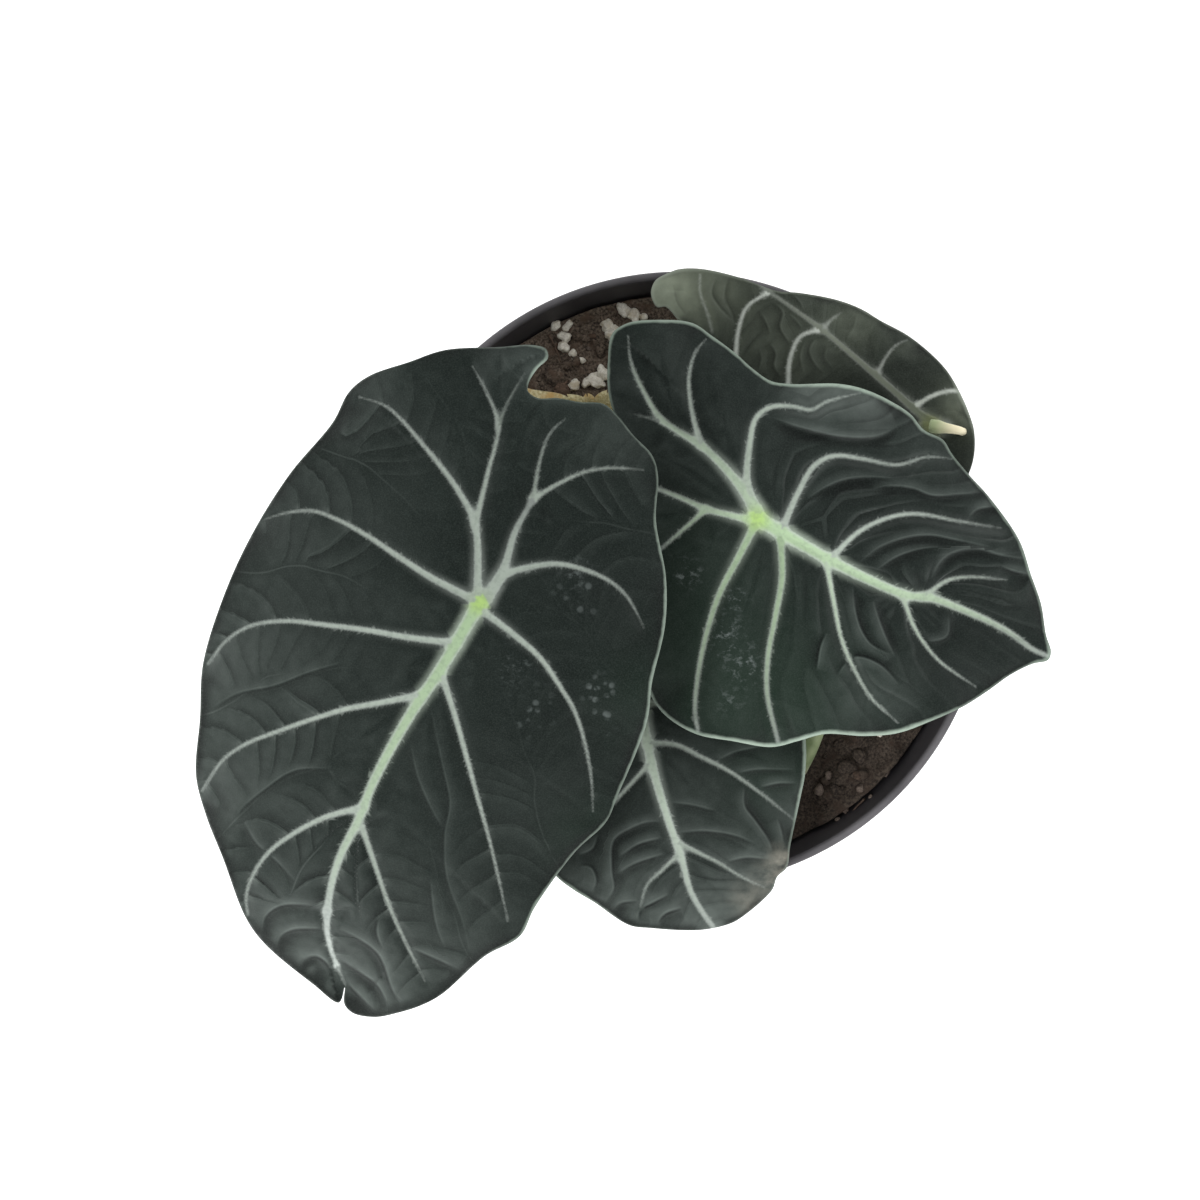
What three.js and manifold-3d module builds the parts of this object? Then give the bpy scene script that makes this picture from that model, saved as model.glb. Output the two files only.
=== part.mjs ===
// A velvet-leaved alocasia in its round nursery pot: pot, soil, crown, side shoot, four leaf stalks and four blades.
// Millimetres, +Z up. The origin is the centre of the pot's underside.
import * as THREE from "three";
import { mergeVertices } from "three/addons/utils/BufferGeometryUtils.js";
import Module from "manifold-3d";

const wasm = await Module();
wasm.setup();

// ---- driving dimensions ----

const TAU = Math.PI * 2;
const CLEARANCE = 0.3; // between pieces that touch

const POT = {
  rimRadius: 77,
  height: 110,
  baseRadius: 54,
  wall: 1.4,
  lipDrop: 9,
  lipOverhang: 1.2,
  lipRound: 0.8,
  footRound: 1.5,
  floor: 2.4,
  sides: 60,
  drainHoles: 6,
  drainRadius: 4,
  drainCircle: 36,
  drainSides: 12,
};

const SOIL = { belowRim: 12, relief: 1.6, wallRoom: 0.36, spokes: 40, rings: 8 };
const CROWN = { x: -21, y: 34.75, radius: 9.5, above: 9, below: 14, sides: 18 };
const SIDE_SHOOT = { x: 27.3, y: -51, radius: 4.8, above: 4.5, below: 9, sides: 14 };
const LEAF_SCARS = { rings: 7, depth: 0.5 };

const PERLITE = {
  smallest: 1.3,
  largest: 2.2,
  proud: 0.15, // how far a lump's middle lies above the soil, in radii
  wallRoom: 1.5,
  seed: 23,
  drifts: [
    { x: -24, y: 58, spread: 11, count: 16 },
    { x: 43, y: -48, spread: 11, count: 9 },
  ],
};

// Papery sheath scales round the crown: where they stand, how long they are and how far their tips lean out.
const SCALES = {
  foot: 2.4, // height of their feet above the soil
  seat: 0.8, // distance of their feet from the crown's middle, in crown radii
  halfTurn: 0.42,
  tipHalfTurn: 0.05,
  halfThickness: 0.9,
  steps: 4,
  leaves: [
    { angle: 1.34, length: 9, lean: 4.5 },
    { angle: 2.12, length: 9, lean: 5 },
    { angle: 2.6, length: 8, lean: 9 },
    { angle: 4.1, length: 9, lean: 4 },
  ],
};

const STALK = { step: 5, sides: 10, lastStretch: [5, 0.4] };

const BLADE = {
  thickness: 0.9,
  ribDepth: 0.8, // how far the main veins stand proud of the underside
  quiltReach: 8, // how far from the veins the quilting reaches its full height
  keelWidth: 3,
  edgeStep: 3.8,
  veinStep: 4.2,
  latticeStep: 5.4,
  veinRoom: 3,
  edgeRoom: 2.4,
  slopeProbe: 0.5,
};

// The leaves were set out on a plan sheet that lies at the height of the pot's rim and is seen from one
// eye point above it. A point that is lifted off the sheet is drawn where the eye sees it.
const EYE = { x: -20, y: -5.25, above: 800 };

// ---- the four blades: plan outlines and veins in mm from the pot's centre, heights above the rim ----

// pose: lift at the stalk, fall towards the tip, fall to the right and the left side, seen from the stalk
// towards the tip, and the sharpness of the fold on the midrib.
const LEAF_A = {
  name: "blade_a",
  attach: [-50, -5.75],
  tip: [-83.5, -106],
  pose: { lift: 64, tilt: -0.07, droop: 0.003, roll: 0, arch: { right: 0.0055, left: 0.0026 }, keel: 0 },
  quilt: 1.3,
  wave: { height: 1.2, count: 13, reach: 9 },
  ribsUp: false,
  outline: [
    [-45, 58], [-37, 58.5], [-33.5, 57.5], [-33, 55.25], [-35.5, 52.75], [-37.75, 49.25], [-38, 47],
    [-35.5, 45.25], [-30.75, 45.25], [-25, 44.25], [-19, 43.75], [-15.25, 40.25], [-11.5, 35.75], [-7, 31],
    [-5.5, 26], [-6, 14.75], [-3.5, 0.25], [-3.75, -11.75], [-7, -26], [-8.25, -35.75], [-15.5, -54],
    [-18.5, -60.75], [-26.25, -68.25], [-36.25, -82], [-40, -89.25], [-48.75, -94.25], [-59.5, -103.75],
    [-68.75, -107.75], [-77, -109.5], [-82.5, -107.75], [-91.75, -101.25], [-103.75, -91.25],
    [-108.5, -84.75], [-114.25, -69.75], [-118.5, -59], [-121, -49], [-120, -34.75], [-119.25, -21.25],
    [-114.25, -4.75], [-107.5, 10.25], [-97.75, 26], [-86.75, 39.25], [-82.75, 46.75], [-77.75, 50.75],
    [-67.75, 54.25], [-58.75, 57.25],
  ],
  veins: [
    [[-50, -5.75], [-59.5, -22], [-72, -41.75], [-80.25, -60], [-86.75, -74.75], [-88, -89], [-83.5, -106]],
    [[-50.5, -4], [-51.25, 13.5], [-55.25, 21.75], [-64, 33.25], [-73.25, 43], [-80.25, 45.5]],
    [[-51.25, 13.5], [-48, 26.75], [-45.5, 38.25], [-48.75, 47.5], [-52, 53.25]],
    [[-48, -4.75], [-43.75, 3.5], [-41.25, 11.75], [-36.75, 20], [-34.75, 30.75], [-28.75, 40]],
    [[-36.75, 20], [-30.5, 23.75], [-17.25, 27.75], [-8, 27]],
    [[-48, -3.75], [-37.25, 3], [-30.5, 3.75], [-17.25, -0.75], [-9, -12.25]],
    [[-49, -8.25], [-40.5, -14.75], [-29.75, -27.25], [-24.25, -39.25], [-21.75, -58.25]],
    [[-53.75, -5.5], [-71, 6], [-86, 15], [-91.75, 17], [-104.25, 14.75]],
    [[-58.75, -16], [-78.5, -12.75], [-98.5, -10.5], [-107.5, -11.75], [-117, -20]],
    [[-67.75, -30], [-83.5, -32.5], [-100.25, -38], [-114.25, -45.25], [-119, -52]],
    [[-81, -57.75], [-88.5, -59.5], [-102.75, -68.25], [-108.5, -79.75], [-108, -83.5]],
    [[-59.5, -26], [-53, -45.75], [-47.5, -65.75], [-43, -85.5]],
    [[-79.5, -64], [-72.75, -81.5], [-63.75, -100.5]],
  ],
  swells: [
    { at: [-35, 54], radius: 9, rise: 3.5 },
    { at: [-98, -97], radius: 13, rise: -5 },
    { at: [-84, -103], radius: 14, rise: -6 },
    { at: [-25, -30], radius: 26, rise: 2 },
    { at: [-95, 0], radius: 30, rise: -2.5 },
  ],
};

const LEAF_B = {
  name: "blade_b",
  attach: [19.25, 15.25],
  tip: [92.25, -19.5],
  pose: { lift: 42, tilt: -0.04, droop: 0.0026, roll: 0.02, arch: { right: 0.0034, left: 0.0034 }, keel: 0 },
  quilt: 1.7,
  wave: { height: 1.3, count: 12, reach: 8 },
  ribsUp: false,
  outline: [
    [-17, 61.25], [-13, 64], [-6.25, 64.75], [3, 64], [8, 60.75], [13.75, 56.5], [18.25, 52.5], [22.75, 49.5],
    [27.5, 48.75], [40, 48.75], [47.25, 47], [57.25, 41.5], [61, 37.25], [65.75, 34.75], [68, 31.25],
    [72.5, 25.75], [77.25, 20.5], [84.75, 9.75], [87.75, 1], [90.25, -6.25], [91.5, -14], [92.75, -18.25],
    [92, -20.25], [88, -21.25], [82.5, -24], [77.25, -27.75], [71, -31.75], [62.75, -35.5], [54.5, -38.5],
    [46.25, -39.25], [36.25, -38.75], [29.5, -40.5], [23, -42], [13, -40.5], [4, -38.75], [-3.5, -34.25],
    [-7.25, -29.25], [-10, -20.25], [-11, -5.25], [-11.5, 9.75], [-12, 24], [-10, 31], [-13, 36.75],
    [-16.5, 41.5], [-18, 47.25], [-18, 54.75],
  ],
  veins: [
    [[19.25, 15.25], [36.5, 5.25], [45.75, 0.5], [56.5, -4], [70.25, -7.5], [83.25, -14], [91.5, -19]],
    [[19.25, 17.25], [13, 25.75], [-1, 37.25], [-9.25, 47.25], [-13, 61]],
    [[5.25, 33.5], [3, 42], [2.25, 50.25], [6.5, 60]],
    [[17.5, 14.75], [6.5, 17.5], [1.5, 19.75], [-9, 24]],
    [[6.5, 17.5], [3, 14.25], [-4.75, 7.5]],
    [[18, 18.5], [16.75, 25], [17.5, 34.25], [22.75, 43], [32.75, 42.25], [44, 45]],
    [[25.25, 16], [33.5, 28.25], [38.25, 30.75], [54.25, 28.5], [67, 30]],
    [[39.75, 7.5], [52.75, 15.5], [59.5, 16.25], [78.5, 13]],
    [[62.75, -3.25], [71.75, 0.5], [84, -0.5]],
    [[19, 12.75], [9.75, -4], [4.75, -22.5], [3.75, -34]],
    [[25.25, 9], [25.5, 0.5], [22, -19.25], [24.5, -39.5]],
    [[37.5, 2.75], [40.5, -15.5], [48, -30], [54, -35]],
    [[56.25, -5.5], [64.25, -20], [73, -25.75]],
  ],
  swells: [
    { at: [38, 46], radius: 12, rise: 3 },
    { at: [30, 35], radius: 9, rise: -2.5 },
    { at: [60, 37], radius: 8, rise: 2.5 },
    { at: [-14, 50], radius: 12, rise: 2 },
  ],
};

const LEAF_C = {
  name: "blade_c",
  attach: [63, 40.25],
  tip: [20.5, 73],
  pose: { lift: 23, tilt: -0.1, droop: 0, roll: 0, arch: { right: 0, left: 0 }, keel: 0.34 },
  quilt: 1.2,
  wave: { height: 0.9, count: 10, reach: 7 },
  ribsUp: true,
  outline: [
    [-0.25, 64.5], [-3.5, 68], [-5.75, 68], [-7.25, 71.25], [-6.25, 74.5], [-3, 76.5], [0, 77.5], [5.5, 77.5],
    [15.25, 75.25], [20.5, 73.25], [24.25, 72], [30, 71.5], [39.25, 69.75], [45.25, 67.5], [50.25, 64.5],
    [56.75, 61], [62.5, 56.5], [66.75, 52], [69.75, 47], [72, 42], [73.5, 37], [73.5, 31], [72, 26],
    [67.5, 19.75], [58.75, 16.75], [48.75, 18.5], [38.75, 23.5], [28.75, 31], [18.75, 39.75], [10, 51],
    [5, 59.75],
  ],
  veins: [
    [[63, 40.25], [54.5, 47], [45.25, 54], [35.5, 62.25], [27.25, 68.25], [20.5, 73]],
    [[34.75, 62.25], [30, 60.5], [27.5, 55], [27, 40]],
    [[22, 71.5], [16.75, 68], [14.5, 61.75], [13.75, 52]],
    [[5, 76], [5, 71.5], [8, 61.75]],
    [[35.75, 62.5], [40.25, 66.5]],
    [[49.5, 51.75], [53.75, 58.25], [56.75, 59.75]],
    [[58.75, 44.25], [62.5, 46], [68.5, 46.75]],
    [[62, 39], [52, 34], [40, 33]],
    [[63, 39], [60, 30], [58, 20]],
  ],
  swells: [
    { at: [-9, 71], radius: 11, rise: 8 },
    { at: [69, 28], radius: 12, rise: -2 },
  ],
};

const LEAF_D = {
  name: "blade_d",
  attach: [-10, -30.25],
  tip: [8.25, -87.25],
  pose: { lift: 20, tilt: -0.02, droop: 0.005, roll: 0, arch: { right: 0.0048, left: 0.0048 }, keel: 0 },
  quilt: 1.3,
  wave: { height: 0.9, count: 11, reach: 7 },
  ribsUp: false,
  outline: [
    [-30.75, -74.5], [-26.5, -77.75], [-21.5, -80.75], [-12.75, -86.5], [-7.5, -87.25], [5, -87.75],
    [12.25, -86.25], [15.5, -84.5], [23, -77.75], [24.25, -74.5], [26.75, -72], [27.5, -67], [30.25, -54],
    [31.25, -48.75], [31.5, -41.5], [30, -31.5], [23.75, -22.25], [15, -16.5], [5, -13.25], [-3, -14],
    [-8, -19], [-12.5, -14], [-20, -13.25], [-27.5, -19], [-33, -30.25], [-35.5, -45.25], [-36.25, -60.25],
    [-34.25, -70.25],
  ],
  veins: [
    [[-10, -30.25], [-9, -36.75], [-4.75, -54.5], [0.25, -69.25], [5.25, -82.75], [8.25, -86.5]],
    [[-7.5, -41.25], [-1, -41.5], [11.75, -47.75], [28.5, -60.25]],
    [[0.25, -67.5], [9.75, -71], [21.25, -77.25]],
    [[-7.75, -46], [-12.75, -51.75], [-28, -66]],
    [[-0.5, -69], [-8.25, -76.5], [-10, -82]],
    [[-10, -29], [2, -24], [18, -23]],
    [[-10, -31], [4, -32], [26, -40]],
    [[-11, -29], [-20, -22], [-24, -20]],
    [[-10.5, -31.5], [-22, -36], [-32, -44]],
  ],
  swells: [{ at: [24, -70], radius: 9, rise: 1.5 }],
};

const LEAVES = [LEAF_A, LEAF_B, LEAF_C, LEAF_D];

// Where blade C's lobes close round its stalk, which comes up through them, they leave this gap.
const STALK_GAP = { x: 69.9, y: 36.6, radius: 2.1, sides: 10 };

// Stalk routes: [plan x, plan y, height above the rim], from the base to the blade. Radii at both ends.
const STALKS = [
  {
    name: "petiole_a",
    base: 3.3,
    top: 2,
    leaf: LEAF_A,
    route: [[-26, 35.5, -17], [-29, 31.5, -6], [-35, 22, 14], [-43, 9, 38], [-48.5, -3, 54]],
  },
  {
    name: "petiole_b",
    base: 3.1,
    top: 1.9,
    leaf: LEAF_B,
    route: [[-16.2, 36.5, -17], [-12.5, 35, -9], [-3, 30, 5], [9, 22.5, 20], [17.5, 16.5, 33]],
  },
  {
    name: "petiole_c",
    base: 2.7,
    top: 1.15,
    leaf: LEAF_C,
    route: [
      [27.6, -50.5, -19], [29.8, -46.5, -9], [33.2, -39.5, -1], [39, -23, 5], [50, 4, 8.5], [61, 23, 11.5],
      [68, 33.5, 15], [70.4, 36.4, 19.5], [70.2, 36.5, 24.4], [68.8, 37.2, 27.2], [66.2, 38.6, 27.5],
      [64.2, 39.7, 26.9],
    ],
  },
  {
    name: "petiole_d",
    base: 2.9,
    top: 1.6,
    leaf: LEAF_D,
    route: [[-20.8, 29.6, -16], [-19.6, 24, -6], [-17.5, 8, -1], [-14, -13, 2.5], [-11, -26, 11]],
  },
];

// ---- materials ----

const blackPlastic = new THREE.MeshStandardMaterial({ color: 0x2b292c, roughness: 0.55, metalness: 0 });
const darkSoil = new THREE.MeshStandardMaterial({ color: 0x3a2d28, roughness: 0.95, metalness: 0 });
const creamCrown = new THREE.MeshStandardMaterial({ color: 0xc9b183, roughness: 0.7, metalness: 0 });
const greenStalk = new THREE.MeshStandardMaterial({ color: 0x7a925c, roughness: 0.6, metalness: 0 });
const velvetBlade = new THREE.MeshStandardMaterial({ color: 0x2c3330, roughness: 0.85, metalness: 0 });

// ---- small tools ----

/** A repeatable stream of numbers from 0 to 1. */
function seededDraw(seed) {
  let state = seed;
  return () => {
    state = (state * 1664525 + 1013904223) % 4294967296;
    return state / 4294967296;
  };
}

/** A smooth line through plan points, cut into steps of about the given length. */
function smoothLine(points, step, closed = false) {
  const knots = points.map(([x, y]) => new THREE.Vector3(x, y, 0));
  const curve = new THREE.CatmullRomCurve3(knots, closed, "centripetal");
  const count = Math.max(2, Math.round(curve.getLength() / step));
  const line = curve.getSpacedPoints(count).map((p) => [p.x, p.y]);
  return closed ? line.slice(0, -1) : line;
}

/** Distance from a plan point to a line of plan points, and how far along the line its foot lies, 0 to 1. */
function distanceTo(line, x, y) {
  let nearest = Infinity;
  let along = 0;
  for (let i = 1; i < line.length; i++) {
    const [ax, ay] = line[i - 1];
    const [bx, by] = line[i];
    const length2 = (bx - ax) ** 2 + (by - ay) ** 2;
    const t = Math.min(1, Math.max(0, ((x - ax) * (bx - ax) + (y - ay) * (by - ay)) / length2));
    const d = Math.hypot(x - ax - t * (bx - ax), y - ay - t * (by - ay));
    if (d < nearest) {
      nearest = d;
      along = (i - 1 + t) / (line.length - 1);
    }
  }
  return { distance: nearest, along };
}

/** Whether a plan point lies inside a closed outline. */
function isInside(outline, [x, y]) {
  let inside = false;
  outline.forEach(([ax, ay], i) => {
    const [bx, by] = outline[(i + 1) % outline.length];
    if (ay > y !== by > y && x < ((bx - ax) * (y - ay)) / (by - ay) + ax) inside = !inside;
  });
  return inside;
}

/** The triangle of three points with its circumcircle. */
function circled(points, a, b, c) {
  const [ax, ay] = points[a];
  const [bx, by] = points[b].map((v, k) => v - points[a][k]);
  const [cx, cy] = points[c].map((v, k) => v - points[a][k]);
  const d = 2 * (bx * cy - by * cx);
  const x = (cy * (bx * bx + by * by) - by * (cx * cx + cy * cy)) / d;
  const y = (bx * (cx * cx + cy * cy) - cx * (bx * bx + by * by)) / d;
  return { corners: [a, b, c], x: ax + x, y: ay + y, radius2: x * x + y * y };
}

/** Delaunay triangles over plan points, each turning anticlockwise. */
function triangulate(points) {
  const far = 1e4;
  const n = points.length;
  const all = [...points, [-far, -far], [far, -far], [0, far]];
  let triangles = [circled(all, n, n + 1, n + 2)];
  points.forEach(([x, y], i) => {
    const rim = new Map();
    triangles = triangles.filter((t) => {
      if ((x - t.x) ** 2 + (y - t.y) ** 2 > t.radius2) return true;
      t.corners.forEach((a, k) => {
        const b = t.corners[(k + 1) % 3];
        const key = Math.min(a, b) + " " + Math.max(a, b);
        if (!rim.delete(key)) rim.set(key, [a, b]);
      });
      return false;
    });
    for (const [a, b] of rim.values()) triangles.push(circled(all, a, b, i));
  });
  return triangles.map((t) => t.corners).filter((corners) => corners.every((c) => c < n));
}

/** A BufferGeometry from a flat list of coordinates and a list of triangles. */
function geometryFrom(positions, triangles) {
  const geometry = new THREE.BufferGeometry();
  geometry.setAttribute("position", new THREE.Float32BufferAttribute(positions, 3));
  geometry.setIndex(triangles);
  geometry.computeVertexNormals();
  return geometry;
}

/** A closed geometry as a solid that can be joined and cut. */
function solidFrom(geometry) {
  const bare = geometry.clone();
  bare.deleteAttribute("normal");
  bare.deleteAttribute("uv");
  const merged = mergeVertices(bare, 1e-3);
  return new wasm.Manifold(
    new wasm.Mesh({
      numProp: 3,
      vertProperties: merged.attributes.position.array,
      triVerts: new Uint32Array(merged.index.array),
    }),
  );
}

/** A solid back as a geometry. */
function geometryOf(solid) {
  const mesh = solid.getMesh();
  return geometryFrom(Array.from(mesh.vertProperties), Array.from(mesh.triVerts));
}

/** The largest body of a solid: what a cut leaves loose is dropped. */
function mainBody(solid) {
  return solid.decompose().reduce((best, body) => (body.volume() > best.volume() ? body : best));
}

/** The real place of a plan point that is lifted above the rim. */
function liftOff(x, y, lift) {
  const shrink = (EYE.above - lift) / EYE.above;
  return new THREE.Vector3(EYE.x + (x - EYE.x) * shrink, EYE.y + (y - EYE.y) * shrink, POT.height + lift);
}

/** A named mesh for the plant's group. */
function named(name, geometry, material) {
  const mesh = new THREE.Mesh(geometry, material);
  mesh.name = name;
  return mesh;
}

// ---- blades ----

/** A blade's outline, veins and height field, worked out once. */
function surveyLeaf(leaf) {
  const outline = smoothLine(leaf.outline, BLADE.edgeStep, true);
  const veins = leaf.veins.map((vein) => smoothLine(vein, BLADE.veinStep));
  const axis = new THREE.Vector2(leaf.tip[0] - leaf.attach[0], leaf.tip[1] - leaf.attach[1]).normalize();
  const rim = [...outline, outline[0]];

  /** Height of the blade's middle surface above the pot's rim. */
  function liftAt(x, y) {
    const { pose, wave } = leaf;
    const dx = x - leaf.attach[0];
    const dy = y - leaf.attach[1];
    const along = dx * axis.x + dy * axis.y;
    const across = dx * -axis.y + dy * axis.x;
    const arch = across < 0 ? pose.arch.right : pose.arch.left;
    let lift = pose.lift + pose.tilt * along + pose.roll * across;
    lift -= pose.droop * Math.max(0, along) ** 2 + arch * across ** 2;
    lift -= pose.keel * (Math.hypot(across, BLADE.keelWidth) - BLADE.keelWidth);
    for (const { at, radius, rise } of leaf.swells)
      lift += rise * Math.exp(-((x - at[0]) ** 2 + (y - at[1]) ** 2) / radius ** 2);
    const [first, second] = veins.map((vein) => distanceTo(vein, x, y).distance).sort((a, b) => a - b);
    const between = first / Math.max(1e-6, (first + second) / 2);
    lift += leaf.quilt * Math.sin((between * Math.PI) / 2) * Math.min(1, second / BLADE.quiltReach);
    const edge = distanceTo(rim, x, y);
    lift += wave.height * Math.sin(edge.along * wave.count * TAU) * Math.exp(-edge.distance / wave.reach);
    return lift;
  }
  return { outline, veins, liftAt };
}

/** Plan points of a blade: its edge, its veins, and a triangular lattice between them. */
function leafPoints(outline, veins, gap) {
  const edge = gap ? [...outline, ...gap] : outline;
  const room = (p, others, least) => others.every((q) => Math.hypot(p[0] - q[0], p[1] - q[1]) >= least);
  const onVeins = [];
  for (const p of veins.flat())
    if (isInside(outline, p) && room(p, edge, BLADE.edgeRoom) && room(p, onVeins, BLADE.edgeRoom)) onVeins.push(p);
  const between = [];
  const xs = outline.map(([x]) => x);
  const ys = outline.map(([, y]) => y);
  const rowStep = (BLADE.latticeStep * Math.sqrt(3)) / 2;
  for (let row = 0; Math.min(...ys) + row * rowStep < Math.max(...ys); row++)
    for (let x = Math.min(...xs) + ((row % 2) * BLADE.latticeStep) / 2; x < Math.max(...xs); x += BLADE.latticeStep) {
      const p = [x, Math.min(...ys) + row * rowStep];
      if (isInside(outline, p) && room(p, edge, BLADE.veinRoom) && room(p, onVeins, BLADE.veinRoom)) between.push(p);
    }
  return { points: [...edge, ...onVeins, ...between], veinRange: [edge.length, edge.length + onVeins.length] };
}

/** A thin waved blade: both faces are split into the same triangles, one straight above the other. */
function bladeGeometry(leaf, gap) {
  const { outline, veins, liftAt } = surveyLeaf(leaf);
  const { points, veinRange } = leafPoints(outline, veins, gap);
  const middle = ([a, b, c]) => [0, 1].map((k) => (points[a][k] + points[b][k] + points[c][k]) / 3);
  const face = triangulate(points).filter((t) => {
    const m = middle(t);
    return isInside(outline, m) && !(gap && isInside(gap, m));
  });
  const n = points.length;
  const upper = [];
  const lower = [];
  points.forEach(([x, y], i) => {
    const lift = liftAt(x, y);
    const probe = BLADE.slopeProbe;
    const slope = Math.hypot(liftAt(x + probe, y) - lift, liftAt(x, y + probe) - lift) / probe;
    const half = (BLADE.thickness / 2) * Math.min(2, Math.hypot(1, slope));
    const onVein = i >= veinRange[0] && i < veinRange[1];
    const rib = onVein ? BLADE.ribDepth : 0;
    const place = liftOff(x, y, lift);
    upper.push(place.x, place.y, place.z + half + (leaf.ribsUp ? rib : 0));
    lower.push(place.x, place.y, place.z - half - (leaf.ribsUp ? 0 : rib));
  });
  const triangles = [];
  const open = new Map();
  for (const [a, b, c] of face) {
    triangles.push(a, b, c, n + a, n + c, n + b);
    for (const [p, q] of [[a, b], [b, c], [c, a]])
      if (!open.delete(q + " " + p)) open.set(p + " " + q, [p, q]);
  }
  for (const [p, q] of open.values()) triangles.push(p, n + p, q, q, n + p, n + q);
  return geometryFrom([...upper, ...lower], triangles);
}

// ---- stalks ----

/** The centre line of a stalk. A stalk under a blade ends one clearance below it. */
function stalkCurve(stalk) {
  const knots = stalk.route.map(([x, y, lift]) => liftOff(x, y, lift));
  if (!stalk.leaf.ribsUp) {
    const { liftAt } = surveyLeaf(stalk.leaf);
    const [x, y] = stalk.leaf.attach;
    const underside = liftAt(x, y) - BLADE.thickness / 2 - BLADE.ribDepth;
    for (const below of STALK.lastStretch) knots.push(liftOff(x, y, underside - CLEARANCE - below));
  }
  return new THREE.CatmullRomCurve3(knots, false, "centripetal");
}

/** A round stalk along its curve, thicker at the base, grown by a margin all round to cut its socket. */
function stalkGeometry(stalk, margin = 0) {
  const curve = stalkCurve(stalk);
  const steps = Math.round(curve.getLength() / STALK.step);
  const { sides } = STALK;
  const frames = curve.computeFrenetFrames(steps, false);
  const positions = [];
  for (let i = 0; i <= steps; i++) {
    const centre = curve.getPointAt(i / steps);
    if (i === 0) centre.addScaledVector(frames.tangents[0], -margin);
    const radius = stalk.base + (stalk.top - stalk.base) * Math.sqrt(i / steps) + margin;
    for (let k = 0; k < sides; k++) {
      const angle = (k / sides) * TAU;
      const p = centre
        .clone()
        .addScaledVector(frames.normals[i], Math.cos(angle) * radius)
        .addScaledVector(frames.binormals[i], Math.sin(angle) * radius);
      positions.push(p.x, p.y, p.z);
    }
  }
  const triangles = [];
  for (let i = 0; i < steps; i++)
    for (let k = 0; k < sides; k++) {
      const a = i * sides + k;
      const b = i * sides + ((k + 1) % sides);
      triangles.push(a, b, a + sides, b, b + sides, a + sides);
    }
  for (let k = 1; k < sides - 1; k++) {
    triangles.push(0, k + 1, k);
    triangles.push(steps * sides, steps * sides + k, steps * sides + k + 1);
  }
  return geometryFrom(positions, triangles);
}

// ---- pot, soil and crowns ----

/** The pot's outer and inner radius at a height. */
const outerRadius = (z) => POT.baseRadius + ((POT.rimRadius - POT.lipOverhang - POT.baseRadius) * z) / POT.height;
const innerRadius = (z) => outerRadius(z) - POT.wall;

/** The pot: a thin tapered shell with an outward lip, and drain holes through its floor. */
function potGeometry() {
  const lipFoot = POT.height - POT.lipDrop;
  const round = POT.lipRound;
  const profile = [
    [0, 0],
    [POT.baseRadius - POT.footRound, 0],
    [POT.baseRadius, POT.footRound],
    [outerRadius(lipFoot - round), lipFoot - round],
    [POT.rimRadius - round / 2, lipFoot],
    [POT.rimRadius, lipFoot + round],
    [POT.rimRadius, POT.height - round],
    [POT.rimRadius - round, POT.height],
    [innerRadius(POT.height) + round / 2, POT.height],
    [innerRadius(POT.height), POT.height - round],
    [innerRadius(POT.floor), POT.floor],
    [0, POT.floor],
  ].map(([r, z]) => new THREE.Vector2(r, z));
  const shell = new THREE.LatheGeometry(profile, POT.sides);
  shell.rotateX(Math.PI / 2);
  let solid = solidFrom(shell);
  for (let i = 0; i < POT.drainHoles; i++) {
    const angle = ((i + 0.5) / POT.drainHoles) * TAU;
    const drill = new THREE.CylinderGeometry(POT.drainRadius, POT.drainRadius, POT.floor * 3, POT.drainSides);
    drill.rotateX(Math.PI / 2);
    drill.translate(Math.cos(angle) * POT.drainCircle, Math.sin(angle) * POT.drainCircle, POT.floor / 2);
    solid = solid.subtract(solidFrom(drill));
  }
  return geometryOf(solid);
}

/** Height of the soil's surface: crumbs and shallow hollows by a formula. */
function soilSurface(x, y) {
  const level = POT.height - SOIL.belowRim;
  const swell = Math.sin(x * 0.11 + 1.3) * Math.cos(y * 0.09 - 0.4);
  const crumb = Math.sin(x * 0.47 + y * 0.31) * Math.cos(y * 0.53 - x * 0.21);
  return level + SOIL.relief * (0.6 * swell + 0.4 * crumb);
}

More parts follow.
